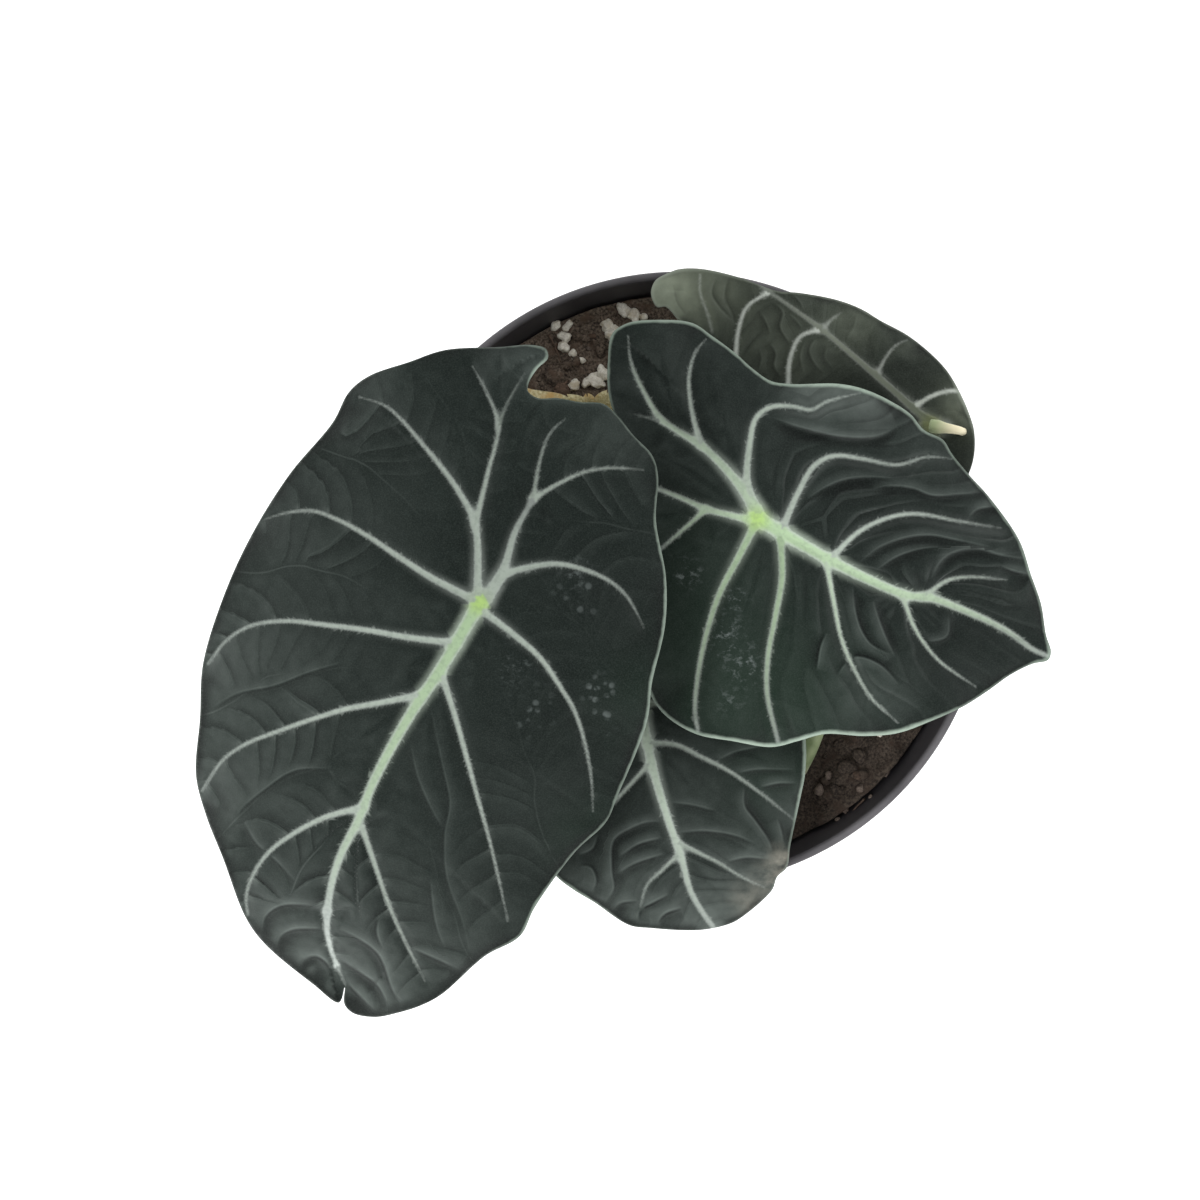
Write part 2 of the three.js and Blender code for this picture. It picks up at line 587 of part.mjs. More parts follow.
/** The body of soil that fills the pot. */
function soilBody() {
  const positions = [];
  const triangles = [];
  const bottom = POT.floor + CLEARANCE;
  const edgeTop = POT.height - SOIL.belowRim;
  positions.push(0, 0, soilSurface(0, 0));
  for (let ring = 1; ring <= SOIL.rings; ring++)
    for (let k = 0; k < SOIL.spokes; k++) {
      const angle = ((k + (ring % 2) / 2) / SOIL.spokes) * TAU;
      const radius = (innerRadius(edgeTop - SOIL.relief) - SOIL.wallRoom) * (ring / SOIL.rings);
      const x = radius * Math.cos(angle);
      const y = radius * Math.sin(angle);
      positions.push(x, y, ring === SOIL.rings ? edgeTop : soilSurface(x, y));
    }
  const foot = 1 + SOIL.rings * SOIL.spokes;
  const outermost = foot - SOIL.spokes;
  for (let k = 0; k < SOIL.spokes; k++) {
    const angle = ((k + (SOIL.rings % 2) / 2) / SOIL.spokes) * TAU;
    const radius = innerRadius(bottom) - SOIL.wallRoom;
    positions.push(radius * Math.cos(angle), radius * Math.sin(angle), bottom);
  }
  const centre = foot + SOIL.spokes;
  positions.push(0, 0, bottom);
  for (let k = 0; k < SOIL.spokes; k++) {
    const next = (k + 1) % SOIL.spokes;
    triangles.push(0, 1 + k, 1 + next);
    for (let ring = 0; ring < SOIL.rings - 1; ring++) {
      const a = 1 + ring * SOIL.spokes;
      const b = a + SOIL.spokes;
      if (ring % 2) triangles.push(a + k, b + k, b + next, a + k, b + next, a + next);
      else triangles.push(a + k, b + k, a + next, a + next, b + k, b + next);
    }
    triangles.push(outermost + k, foot + k, foot + next, outermost + k, foot + next, outermost + next);
    triangles.push(foot + next, foot + k, centre);
  }
  return solidFrom(geometryFrom(positions, triangles));
}

/** White lumps of perlite, in two drifts beside the rim, each sunk well into the soil. */
function perliteLumps() {
  const draw = seededDraw(PERLITE.seed);
  return PERLITE.drifts.flatMap((drift) =>
    Array.from({ length: drift.count }, () => {
      const radius = PERLITE.smallest + (PERLITE.largest - PERLITE.smallest) * draw();
      const angle = draw() * TAU;
      const reach = Math.sqrt(draw()) * drift.spread;
      const furthest = innerRadius(POT.height - SOIL.belowRim) - radius - PERLITE.wallRoom;
      const place = new THREE.Vector2(drift.x + reach * Math.cos(angle), drift.y + reach * Math.sin(angle));
      const { x, y } = place.clampLength(0, furthest);
      const lump = new THREE.IcosahedronGeometry(radius, 0);
      lump.rotateZ(draw() * TAU);
      lump.rotateX(draw() * TAU);
      lump.translate(x, y, soilSurface(x, y) + radius * PERLITE.proud);
      return solidFrom(lump);
    }),
  );
}

/** A lumpy crown that stands in the soil, ringed by old leaf scars. */
function crownSolid(crown, margin = 0) {
  const soilTop = POT.height - SOIL.belowRim;
  const profile = [new THREE.Vector2(0, -crown.below - margin)];
  for (let i = 0; i <= LEAF_SCARS.rings; i++) {
    const t = i / LEAF_SCARS.rings;
    const belly = 0.72 + 0.28 * Math.sin(Math.PI * Math.min(1, t * 1.1));
    const scar = i % 2 ? LEAF_SCARS.depth : 0;
    const z = -crown.below - (i ? 0 : margin) + (crown.below + crown.above * 0.7) * t;
    profile.push(new THREE.Vector2(crown.radius * belly - scar + margin, z));
  }
  profile.push(new THREE.Vector2(0, crown.above + margin));
  const body = new THREE.LatheGeometry(profile, crown.sides);
  body.rotateX(Math.PI / 2);
  body.translate(crown.x, crown.y, soilTop);
  return solidFrom(body);
}

/** A pointed sheath scale that leans out from the crown, as a thin curved wedge. */
function sheathScale(crown, angle, length, lean) {
  const soilTop = POT.height - SOIL.belowRim;
  const { steps, halfThickness } = SCALES;
  const positions = [];
  for (let i = 0; i <= steps; i++) {
    const t = i / steps;
    const half = SCALES.halfTurn * (1 - t) + SCALES.tipHalfTurn;
    const inner = half * 0.6;
    const radius = crown.radius * SCALES.seat + lean * t * t;
    for (const [turn, side] of [[-half, 1], [half, 1], [inner, -1], [-inner, -1]]) {
      const r = radius + side * halfThickness * (1 - t / 2);
      const x = crown.x + Math.cos(angle + turn) * r;
      positions.push(x, crown.y + Math.sin(angle + turn) * r, soilTop + SCALES.foot + length * t);
    }
  }
  const triangles = [0, 2, 1, 0, 3, 2];
  const last = steps * 4;
  triangles.push(last, last + 1, last + 2, last, last + 2, last + 3);
  for (let i = 0; i < steps; i++)
    for (let k = 0; k < 4; k++) {
      const a = i * 4 + k;
      const b = i * 4 + ((k + 1) % 4);
      triangles.push(a, b, a + 4, b, b + 4, a + 4);
    }
  return solidFrom(geometryFrom(positions, triangles));
}

// ---- the plant ----

const plant = new THREE.Group();
plant.name = "alocasia";

const holes = STALKS.map((stalk) => solidFrom(stalkGeometry(stalk, CLEARANCE)));

let crown = crownSolid(CROWN);
for (const { angle, length, lean } of SCALES.leaves) crown = crown.add(sheathScale(CROWN, angle, length, lean));
let sideShoot = crownSolid(SIDE_SHOOT);
let soil = soilBody();
for (const lump of perliteLumps()) soil = soil.add(lump);
soil = soil.subtract(crownSolid(CROWN, CLEARANCE)).subtract(crownSolid(SIDE_SHOOT, CLEARANCE));
for (const hole of holes) {
  crown = crown.subtract(hole);
  sideShoot = sideShoot.subtract(hole);
  soil = soil.subtract(hole);
}

plant.add(named("pot", potGeometry(), blackPlastic));
plant.add(named("soil", geometryOf(mainBody(soil)), darkSoil));
plant.add(named("crown", geometryOf(mainBody(crown)), creamCrown));
plant.add(named("side_shoot", geometryOf(mainBody(sideShoot)), creamCrown));
for (const stalk of STALKS) plant.add(named(stalk.name, stalkGeometry(stalk), greenStalk));

const stalkGap = Array.from({ length: STALK_GAP.sides }, (_, i) => {
  const angle = (i / STALK_GAP.sides) * TAU;
  return [STALK_GAP.x + STALK_GAP.radius * Math.cos(angle), STALK_GAP.y + STALK_GAP.radius * Math.sin(angle)];
});
for (const leaf of LEAVES)
  plant.add(named(leaf.name, bladeGeometry(leaf, leaf === LEAF_C ? stalkGap : null), velvetBlade));

export default plant;
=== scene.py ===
"""Dresses a potted velvet-leaved alocasia: pot, potting mix, crown, leaf stalks and four veined blades.

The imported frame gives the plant's solids in metres, +Z up, with the origin under the middle of the pot.
Leaves are set out in millimetres on a plan sheet at rim height, seen from one eye point above it.
"""

from __future__ import annotations

import logging
import math
from collections.abc import Sequence
from dataclasses import dataclass, field
from enum import Enum
from functools import reduce

import bmesh
import bpy
import numpy as np
from mathutils import Euler, Matrix, Vector
from mathutils.geometry import delaunay_2d_cdt

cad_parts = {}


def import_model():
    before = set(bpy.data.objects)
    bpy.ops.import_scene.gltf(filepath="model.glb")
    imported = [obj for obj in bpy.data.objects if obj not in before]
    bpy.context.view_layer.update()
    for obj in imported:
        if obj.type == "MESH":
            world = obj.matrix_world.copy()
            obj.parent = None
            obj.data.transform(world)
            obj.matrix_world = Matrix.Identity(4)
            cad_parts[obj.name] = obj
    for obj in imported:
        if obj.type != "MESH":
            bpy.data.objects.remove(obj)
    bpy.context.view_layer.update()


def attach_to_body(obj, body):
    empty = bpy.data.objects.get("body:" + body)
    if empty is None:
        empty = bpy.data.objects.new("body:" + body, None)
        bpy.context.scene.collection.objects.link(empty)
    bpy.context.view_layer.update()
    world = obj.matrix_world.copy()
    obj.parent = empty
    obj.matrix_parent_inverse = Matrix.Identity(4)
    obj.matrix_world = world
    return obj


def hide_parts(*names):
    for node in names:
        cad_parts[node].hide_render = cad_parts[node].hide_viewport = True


LOG = logging.getLogger("alocasia")
MM = 0.001
TAU = 2 * math.pi
TINY = 1e-9
FAR = 1e9
BODY = "root"
WHITE = (1.0, 1.0, 1.0, 1.0)

Array = np.ndarray
Point = tuple[float, float]
Face = tuple[int, ...]
Colour = tuple[float, float, float, float]
Spot = tuple[float, float, float]  # x, y and radius
Patch = tuple[float, float, float, float]  # x, y, radius and strength


class Slot(Enum):
    """The record's material slots."""

    POT = "pot_plastic"
    MIX = "potting_mix"
    SHEATH = "crown_sheath"
    STALK = "leaf_stalk"
    LEAF = "velvet_leaf"


# ---- plan and lines ----


@dataclass(frozen=True)
class Plan:
    """The plan sheet at rim height, and the eye point above it, in millimetres."""

    rim_height: float = 110.0
    eye_x: float = -20.0
    eye_y: float = -5.25
    eye_above: float = 800.0

    def lift_off(self, x: Array, y: Array, lift: Array) -> Array:
        """Places plan points at a height above the rim.

        Args:
            x: Plan coordinates across the sheet.
            y: Plan coordinates up the sheet.
            lift: Heights above the rim.

        Returns:
            An array of real places in metres, one row each.
        """
        shrink = (self.eye_above - lift) / self.eye_above
        real_x = self.eye_x + (x - self.eye_x) * shrink
        real_y = self.eye_y + (y - self.eye_y) * shrink
        return np.stack([real_x, real_y, self.rim_height + lift], axis=-1) * MM


PLAN = Plan()
SPAN_CUTS = 24
NOISE_SHIFT = 137.0
NOISE_PRIME = 4294967291
NOISE_MIX = 668265263
NOISE_LAST_MIX = 2246822519
SEED_STEP = 7919
SEED_START = 101
HASH_BITS = 13


def smooth_line(points: Sequence | Array, step: float, closed: bool = False) -> Array:
    """Runs a centripetal Catmull-Rom line through points and cuts it into even steps.

    Args:
        points: The knots, in two or three dimensions.
        step: The wanted length of a step.
        closed: Whether the line joins its own start.

    Returns:
        The points of the line; a closed line doesn't repeat its first point.
    """
    knots = np.asarray(points, float)
    if closed:
        knots = np.vstack([knots[-1:], knots, knots[:2]])
    else:
        knots = np.vstack([2 * knots[:1] - knots[1:2], knots, 2 * knots[-1:] - knots[-2:-1]])
    fine = []
    for i in range(1, len(knots) - 2):
        p0, p1, p2, p3 = knots[i - 1 : i + 3]
        pairs = ((p0, p1), (p1, p2), (p2, p3))
        t1, t2, t3 = np.cumsum([max(TINY, np.linalg.norm(q - p) ** 0.5) for p, q in pairs])
        t = np.linspace(t1, t2, SPAN_CUTS, endpoint=False)[:, None]
        a1 = (t1 - t) / t1 * p0 + t / t1 * p1
        a2 = (t2 - t) / (t2 - t1) * p1 + (t - t1) / (t2 - t1) * p2
        a3 = (t3 - t) / (t3 - t2) * p2 + (t - t2) / (t3 - t2) * p3
        b1 = (t2 - t) / t2 * a1 + t / t2 * a2
        b2 = (t3 - t) / (t3 - t1) * a2 + (t - t1) / (t3 - t1) * a3
        fine.append((t2 - t) / (t2 - t1) * b1 + (t - t1) / (t2 - t1) * b2)
    line = np.vstack([*fine, knots[-2:-1]])
    run = np.concatenate([[0.0], np.cumsum(np.linalg.norm(np.diff(line, axis=0), axis=1))])
    even = np.linspace(0.0, run[-1], max(2, round(run[-1] / step)) + 1)
    out = np.stack([np.interp(even, run, column) for column in line.T], axis=1)
    return out[:-1] if closed else out


@dataclass(frozen=True)
class Trace:
    """Where plan points lie from a line.

    It holds the distance from the line, the run along it, the side (1 on the left), the distance with any
    shortfall before the start counted more, how far the points lie past the end, and the line's length.
    """

    distance: Array
    run: Array
    side: Array
    apart: Array
    past: Array
    length: float

    @property
    def share(self) -> Array:
        """How far along the line each point lies, from 0 to 1."""
        return self.run / self.length


def trace(line: Array, points: Array, short: float = 2.5) -> Trace:
    """Measures how plan points lie from a line.

    Args:
        line: The line's points in order.
        points: The plan points, one row each.
        short: How much further a point counts as lying for each millimetre that it falls short of the start.

    Returns:
        The measures.
    """
    x, y = points.T
    nearest, run, side = np.full(len(x), FAR), np.zeros(len(x)), np.ones(len(x))
    walked = 0.0
    for (ax, ay), (bx, by) in zip(line[:-1], line[1:]):
        dx, dy = bx - ax, by - ay
        length = math.hypot(dx, dy)
        t = np.clip(((x - ax) * dx + (y - ay) * dy) / (length * length), 0.0, 1.0)
        d = np.hypot(x - ax - t * dx, y - ay - t * dy)
        closer = d < nearest
        nearest = np.where(closer, d, nearest)
        run = np.where(closer, walked + t * length, run)
        side = np.where(closer, np.where(dx * (y - ay) - dy * (x - ax) >= 0, 1.0, -1.0), side)
        walked += length
    behind = np.where(run <= 0.0, beyond(line[1], line[0], points), 0.0)
    apart = np.sqrt(np.maximum(0.0, nearest**2 - behind**2) + (short * behind) ** 2)
    past = np.where(run >= walked - TINY, beyond(line[-2], line[-1], points), 0.0)
    return Trace(nearest, run, side, apart, past, walked)


def beyond(before: Array, end: Array, points: Array) -> Array:
    """Measures how far points lie past the end of a straight stretch.

    Args:
        before: A point of the stretch.
        end: Its end.
        points: The plan points, one row each.

    Returns:
        The lengths past the end, or 0.
    """
    way = (end - before) / np.linalg.norm(end - before)
    return np.maximum(0.0, (points - end) @ way)


def smooth_step(low: float, high: float, value: Array) -> Array:
    """Rises smoothly from 0 at low to 1 at high."""
    t = np.clip((value - low) / (high - low), 0.0, 1.0)
    return t * t * (3 - 2 * t)


def value_noise(points: Array, size: float, seed: int) -> Array:
    """Gives smooth random numbers from -1 to 1 that change over a given size.

    Args:
        points: Places in any number of dimensions, one row each.
        size: The length over which the numbers change.
        seed: Which set of numbers to use.

    Returns:
        One number for each place.
    """
    scaled = points / size + NOISE_SHIFT
    cell = np.floor(scaled).astype(np.int64)
    part = scaled - cell
    part = part * part * (3 - 2 * part)
    dims = points.shape[1]
    total = np.zeros(len(points))
    for corner in range(2**dims):
        bits = np.array([(corner >> k) & 1 for k in range(dims)])
        weight = np.prod(np.where(bits, part, 1 - part), axis=1)
        key = np.full(len(points), seed * SEED_STEP + SEED_START, np.int64)
        for k in range(dims):
            key = (key ^ (cell[:, k] + bits[k])) * NOISE_MIX % NOISE_PRIME
            key = key ^ (key >> HASH_BITS)
        total += weight * ((key * NOISE_LAST_MIX % NOISE_PRIME) / NOISE_PRIME)
    return total * 2 - 1


def patches(rows: Sequence[Patch], points: Array, least: float = 0.0) -> Array:
    """Adds up soft round patches at plan points.

    Args:
        rows: Each patch's plan place, radius and strength.
        points: The plan points, one row each.
        least: What the sum starts from.

    Returns:
        One sum for each point.
    """
    total = np.full(len(points), least)
    for x, y, radius, strength in rows:
        total += strength * np.exp(-((points[:, 0] - x) ** 2 + (points[:, 1] - y) ** 2) / radius**2)
    return total


# ---- meshes ----


def add_object(name: str, data: bpy.types.ID) -> bpy.types.Object:
    """Adds an object to the scene.

    Args:
        name: The object's name.
        data: Its mesh, lamp or camera.

    Returns:
        The new object.
    """
    made = bpy.data.objects.new(name, data)
    bpy.context.scene.collection.objects.link(made)
    return made


def new_mesh(name: str, places: Array, faces: Sequence[Face]) -> bpy.types.Object:
    """Makes a smooth-shaded mesh object from places in metres.

    Args:
        name: The piece's name.
        places: Vertex places, one row each.
        faces: Vertex numbers of each face.

    Returns:
        The new object, linked to the scene.
    """
    mesh = bpy.data.meshes.new(name)
    mesh.from_pydata(places.tolist(), [], faces)
    mesh.shade_smooth()
    mesh.validate()
    return add_object(name, mesh)


def add_field(piece: bpy.types.Object, name: str, values: Array) -> None:
    """Stores one number for each vertex, for the piece's material to read."""
    layer = piece.data.attributes.new(name, "FLOAT", "POINT")
    layer.data.foreach_set("value", np.asarray(values, np.float32))


def settle(
    piece: bpy.types.Object, finishes: Sequence[bpy.types.Material], slot: Slot, *nodes: str
) -> bpy.types.Object:
    """Gives a piece its finishes, rides it on the plant and says which nodes it stands for.

    Args:
        piece: The shaped piece.
        finishes: Its materials, in order.
        slot: The record's material slot; not used.
        nodes: The frame's nodes that the piece replaces.

    Returns:
        The same piece.
    """
    for finish in finishes:
        piece.data.materials.append(finish)
    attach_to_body(piece, BODY)
    if nodes:
        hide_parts(*nodes)
    LOG.info("%s: %d vertices", piece.name, len(piece.data.vertices))
    return piece


def angles(sides: int) -> Array:
    """Even angles round a circle."""
    return np.arange(sides) / sides * TAU


def ring_places(radii: Array, heights: Array, sides: int) -> Array:
    """Places rings of vertices round the Z axis.

    Args:
        radii: Each ring's radius, or a row of radii for each ring.
        heights: Each ring's height.
        sides: How many vertices a ring has.

    Returns:
        The places, one row each, ring after ring.
    """
    turns = angles(sides)
    wide = np.reshape(radii, (len(heights), -1))
    x, y, z = np.broadcast_arrays(wide * np.cos(turns), wide * np.sin(turns), np.reshape(heights, (-1, 1)))
    return np.stack([x, y, z], axis=-1).reshape(-1, 3)


def ring_faces(rings: int, sides: int, poles: bool = False) -> list[Face]:
    """Numbers the faces of a closed stack of rings of vertices.

    Args:
        rings: How many rings there are.
        sides: How many vertices a ring has.
        poles: Whether one vertex before the first ring and one after the last close the ends, rather than a
            flat face at each.

    Returns:
        The vertex numbers of each face, facing out for rings that turn anticlockwise on their way up.
    """
    first = 1 if poles else 0
    last = first + (rings - 1) * sides
    pairs = [(k, (k + 1) % sides) for k in range(sides)]
    starts = range(first, last, sides)
    faces = [(a + k, a + n, a + sides + n, a + sides + k) for a in starts for k, n in pairs]
    if poles:
        faces += [(0, 1 + n, 1 + k) for k, n in pairs]
        return faces + [(last + k, last + n, last + sides) for k, n in pairs]
    return faces + [tuple(range(sides))[::-1], tuple(range(last, last + sides))]


def join(parts: Sequence[tuple[Array, list[Face]]]) -> tuple[Array, list[Face]]:
    """Joins parts into one set of places and faces.

    Args:
        parts: The places and faces of each part.

    Returns:
        All places, and all faces with their vertex numbers moved on.
    """
    faces: list[Face] = []
    count = 0
    for places, own_faces in parts:
        faces += [tuple(vertex + count for vertex in face) for face in own_faces]
        count += len(places)
    return np.vstack([places for places, _ in parts]), faces


def tube(centres: Array, radii: Array, sides: int, flutes: Array | float = 1.0) -> tuple[Array, list[Face]]:
    """Sweeps a closed round section along a line.

    Args:
        centres: The line's places.
        radii: The radius at each place.
        sides: How many corners the section has.
        flutes: A factor on the radius, or one for each corner of each section.

    Returns:
        Vertex places, and faces with both ends closed.
    """
    tangents = np.gradient(centres, axis=0)
    tangents /= np.linalg.norm(tangents, axis=1)[:, None]
    side = np.cross(tangents[0], [0.3, 0.5, 0.81])
    cos, sin = np.cos(angles(sides)), np.sin(angles(sides))
    rings = []
    for centre, tangent, radius in zip(centres, tangents, radii[:, None] * flutes):
        side = side - tangent * side.dot(tangent)
        side /= np.linalg.norm(side)
        rings.append(centre + np.outer(cos * radius, side) + np.outer(sin * radius, np.cross(tangent, side)))
    return np.vstack(rings), ring_faces(len(centres), sides)


# ---- finishes ----

MIX_INPUTS = (0, 6, 7)  # the colour Mix node's factor and its two colours
MIX_OUTPUT = 2


class Term:
    """A number, place or colour that a material works out at every spot, so that its sums read as sums."""

    def __init__(self, socket: bpy.types.NodeSocket) -> None:
        """Holds the socket that gives it."""
        self.socket = socket

    def __add__(self, other: Term | float) -> Term:
        """Adds another to it."""
        return work_out("ADD", self, other)

    def __sub__(self, other: Term | float) -> Term:
        """Takes another from it."""
        return work_out("SUBTRACT", self, other)

    def __rsub__(self, other: float) -> Term:
        """Takes it from a number."""
        return work_out("SUBTRACT", other, self)

    def __mul__(self, other: Term | float) -> Term:
        """Multiplies it by another."""
        return work_out("MULTIPLY", self, other)

    def __truediv__(self, other: Term | float) -> Term:
        """Divides it by another."""
        return work_out("DIVIDE", self, other)

    def __abs__(self) -> Term:
        """Drops its sign."""
        return work_out("ABSOLUTE", self)

    def rise(self, low: float, high: float) -> Term:
        """Rises smoothly from 0 where it is low to 1 where it is high, or falls where low is the larger.

        Args:
            low: The value that gives 0.
            high: The value that gives 1.

        Returns:
            The number from 0 to 1.
        """
        ends = (0.0, 1.0) if low < high else (1.0, 0.0)
        return Term(add_node(
            self.socket.id_data, "MapRange", {"interpolation_type": "SMOOTHSTEP"}, Value=self,
            From_Min=min(low, high), From_Max=max(low, high), To_Min=ends[0], To_Max=ends[1],
        ).outputs[0])

    def blend(self, first: Term | Colour, second: Term | Colour) -> Term:
        """Mixes two colours, from the first where it is 0 to the second where it is 1.

        Args:
            first: The colour at 0.
            second: The colour at 1.

        Returns:
            The mixed colour.
        """
        made = add_node(self.socket.id_data, "Mix", {"data_type": "RGBA"})
        for number, value in zip(MIX_INPUTS, (self, first, second)):
            feed(made.inputs[number], value)
        return Term(made.outputs[MIX_OUTPUT])


def feed(socket: bpy.types.NodeSocket, value: object) -> None:
    """Links a term to an input, or sets the input's own value.

    Args:
        socket: The input.
        value: The term or value.
    """
    if isinstance(value, Term):
        socket.id_data.links.new(value.socket, socket)
    else:
        socket.default_value = value


def add_node(
    tree: bpy.types.NodeTree, kind: str, settings: dict | None = None, **inputs: object
) -> bpy.types.Node:
    """Adds a node to a material's tree.

    Args:
        tree: The tree.
        kind: The node's type without its ShaderNode prefix.
        settings: Properties to set on the node.
        inputs: Terms or values for its inputs, with _ for a space in a name.

    Returns:
        The new node.
    """
    made = tree.nodes.new("ShaderNode" + kind)
    for key, value in (settings or {}).items():
        setattr(made, key, value)
    for key, value in inputs.items():
        feed(made.inputs[key.replace("_", " ")], value)
    return made


def work_out(operation: str, *values: Term | float) -> Term:
    """Works out one sum.

    Args:
        operation: The math node's operation.
        values: One or two terms or numbers, with a term among them.

    Returns:
        The result.
    """
    tree = next(value.socket.id_data for value in values if isinstance(value, Term))
    made = add_node(tree, "Math", {"operation": operation})
    for socket, value in zip(made.inputs, values):
        feed(socket, value)
    return Term(made.outputs[0])


def most(*values: Term | float) -> Term:
    """The greatest of two or more terms and numbers, with a term among the first two."""
    return reduce(lambda first, second: work_out("MAXIMUM", first, second), values)


class Shader:
    """A material with one Principled shader, and short calls for what its finish reads."""

    def __init__(self, name: str) -> None:
        """Starts the material.

        Args:
            name: The material's name.
        """
        self.material = bpy.data.materials.new(name)
        self.material.use_nodes = True
        self.tree = self.material.node_tree
        self.base = self.tree.nodes["Principled BSDF"]

    def read(self, output: str, kind: str, settings: dict | None = None, **inputs: object) -> Term:
        """Adds a node and gives one of its outputs, with the rest as add_node has it."""
        return Term(add_node(self.tree, kind, settings, **inputs).outputs[output])

    def field(self, name: str) -> Term:
        """Reads a number stored on the mesh."""
        return self.read("Fac", "Attribute", {"attribute_name": name})

    def place(self) -> Term:
        """The surface's own place in metres."""
        return self.read("Object", "TexCoord")

    def noise(self, scale: float, detail: float = 2.0, rough: float = 0.5) -> Term:
        """Smooth noise from 0 to 1 with a given number of cells in a metre."""
        return self.read("Fac", "TexNoise", Vector=self.place(), Scale=scale, Detail=detail, Roughness=rough)

    def cells(self, scale: float) -> Term:
        """Distance to the nearest of scattered points, in cells."""
        return self.read("Distance", "TexVoronoi", Vector=self.place(), Scale=scale)

    def bump(self, height: Term, distance: float, strength: float) -> Term:
        """The direction of a surface that a height field raises, by a distance in millimetres."""
        return self.read("Normal", "Bump", Height=height, Distance=distance * MM, Strength=strength)

    def finish(self, **values: object) -> bpy.types.Material:
        """Sets the shader's own inputs.

        Args:
            values: Terms or values, with _ for a space in an input's name.

        Returns:
            The material.
        """
        for key, value in values.items():
            feed(self.base.inputs[key.replace("_", " ")], value)
        return self.material


def rgb(red: float, green: float, blue: float) -> Colour:
    """A screen colour from 0 to 255 as a linear one."""
    linear = [((v / 255 + 0.055) / 1.055) ** 2.4 if v > 10 else v / 255 / 12.92 for v in (red, green, blue)]
    return (*linear, 1.0)


CREASE_SETS = "ab"
DUST_CELLS = 430
FLECK_CELLS = 520.0
DOWN_CELLS = 1500
BARB_CELLS = 240
TONE_CELLS = 900


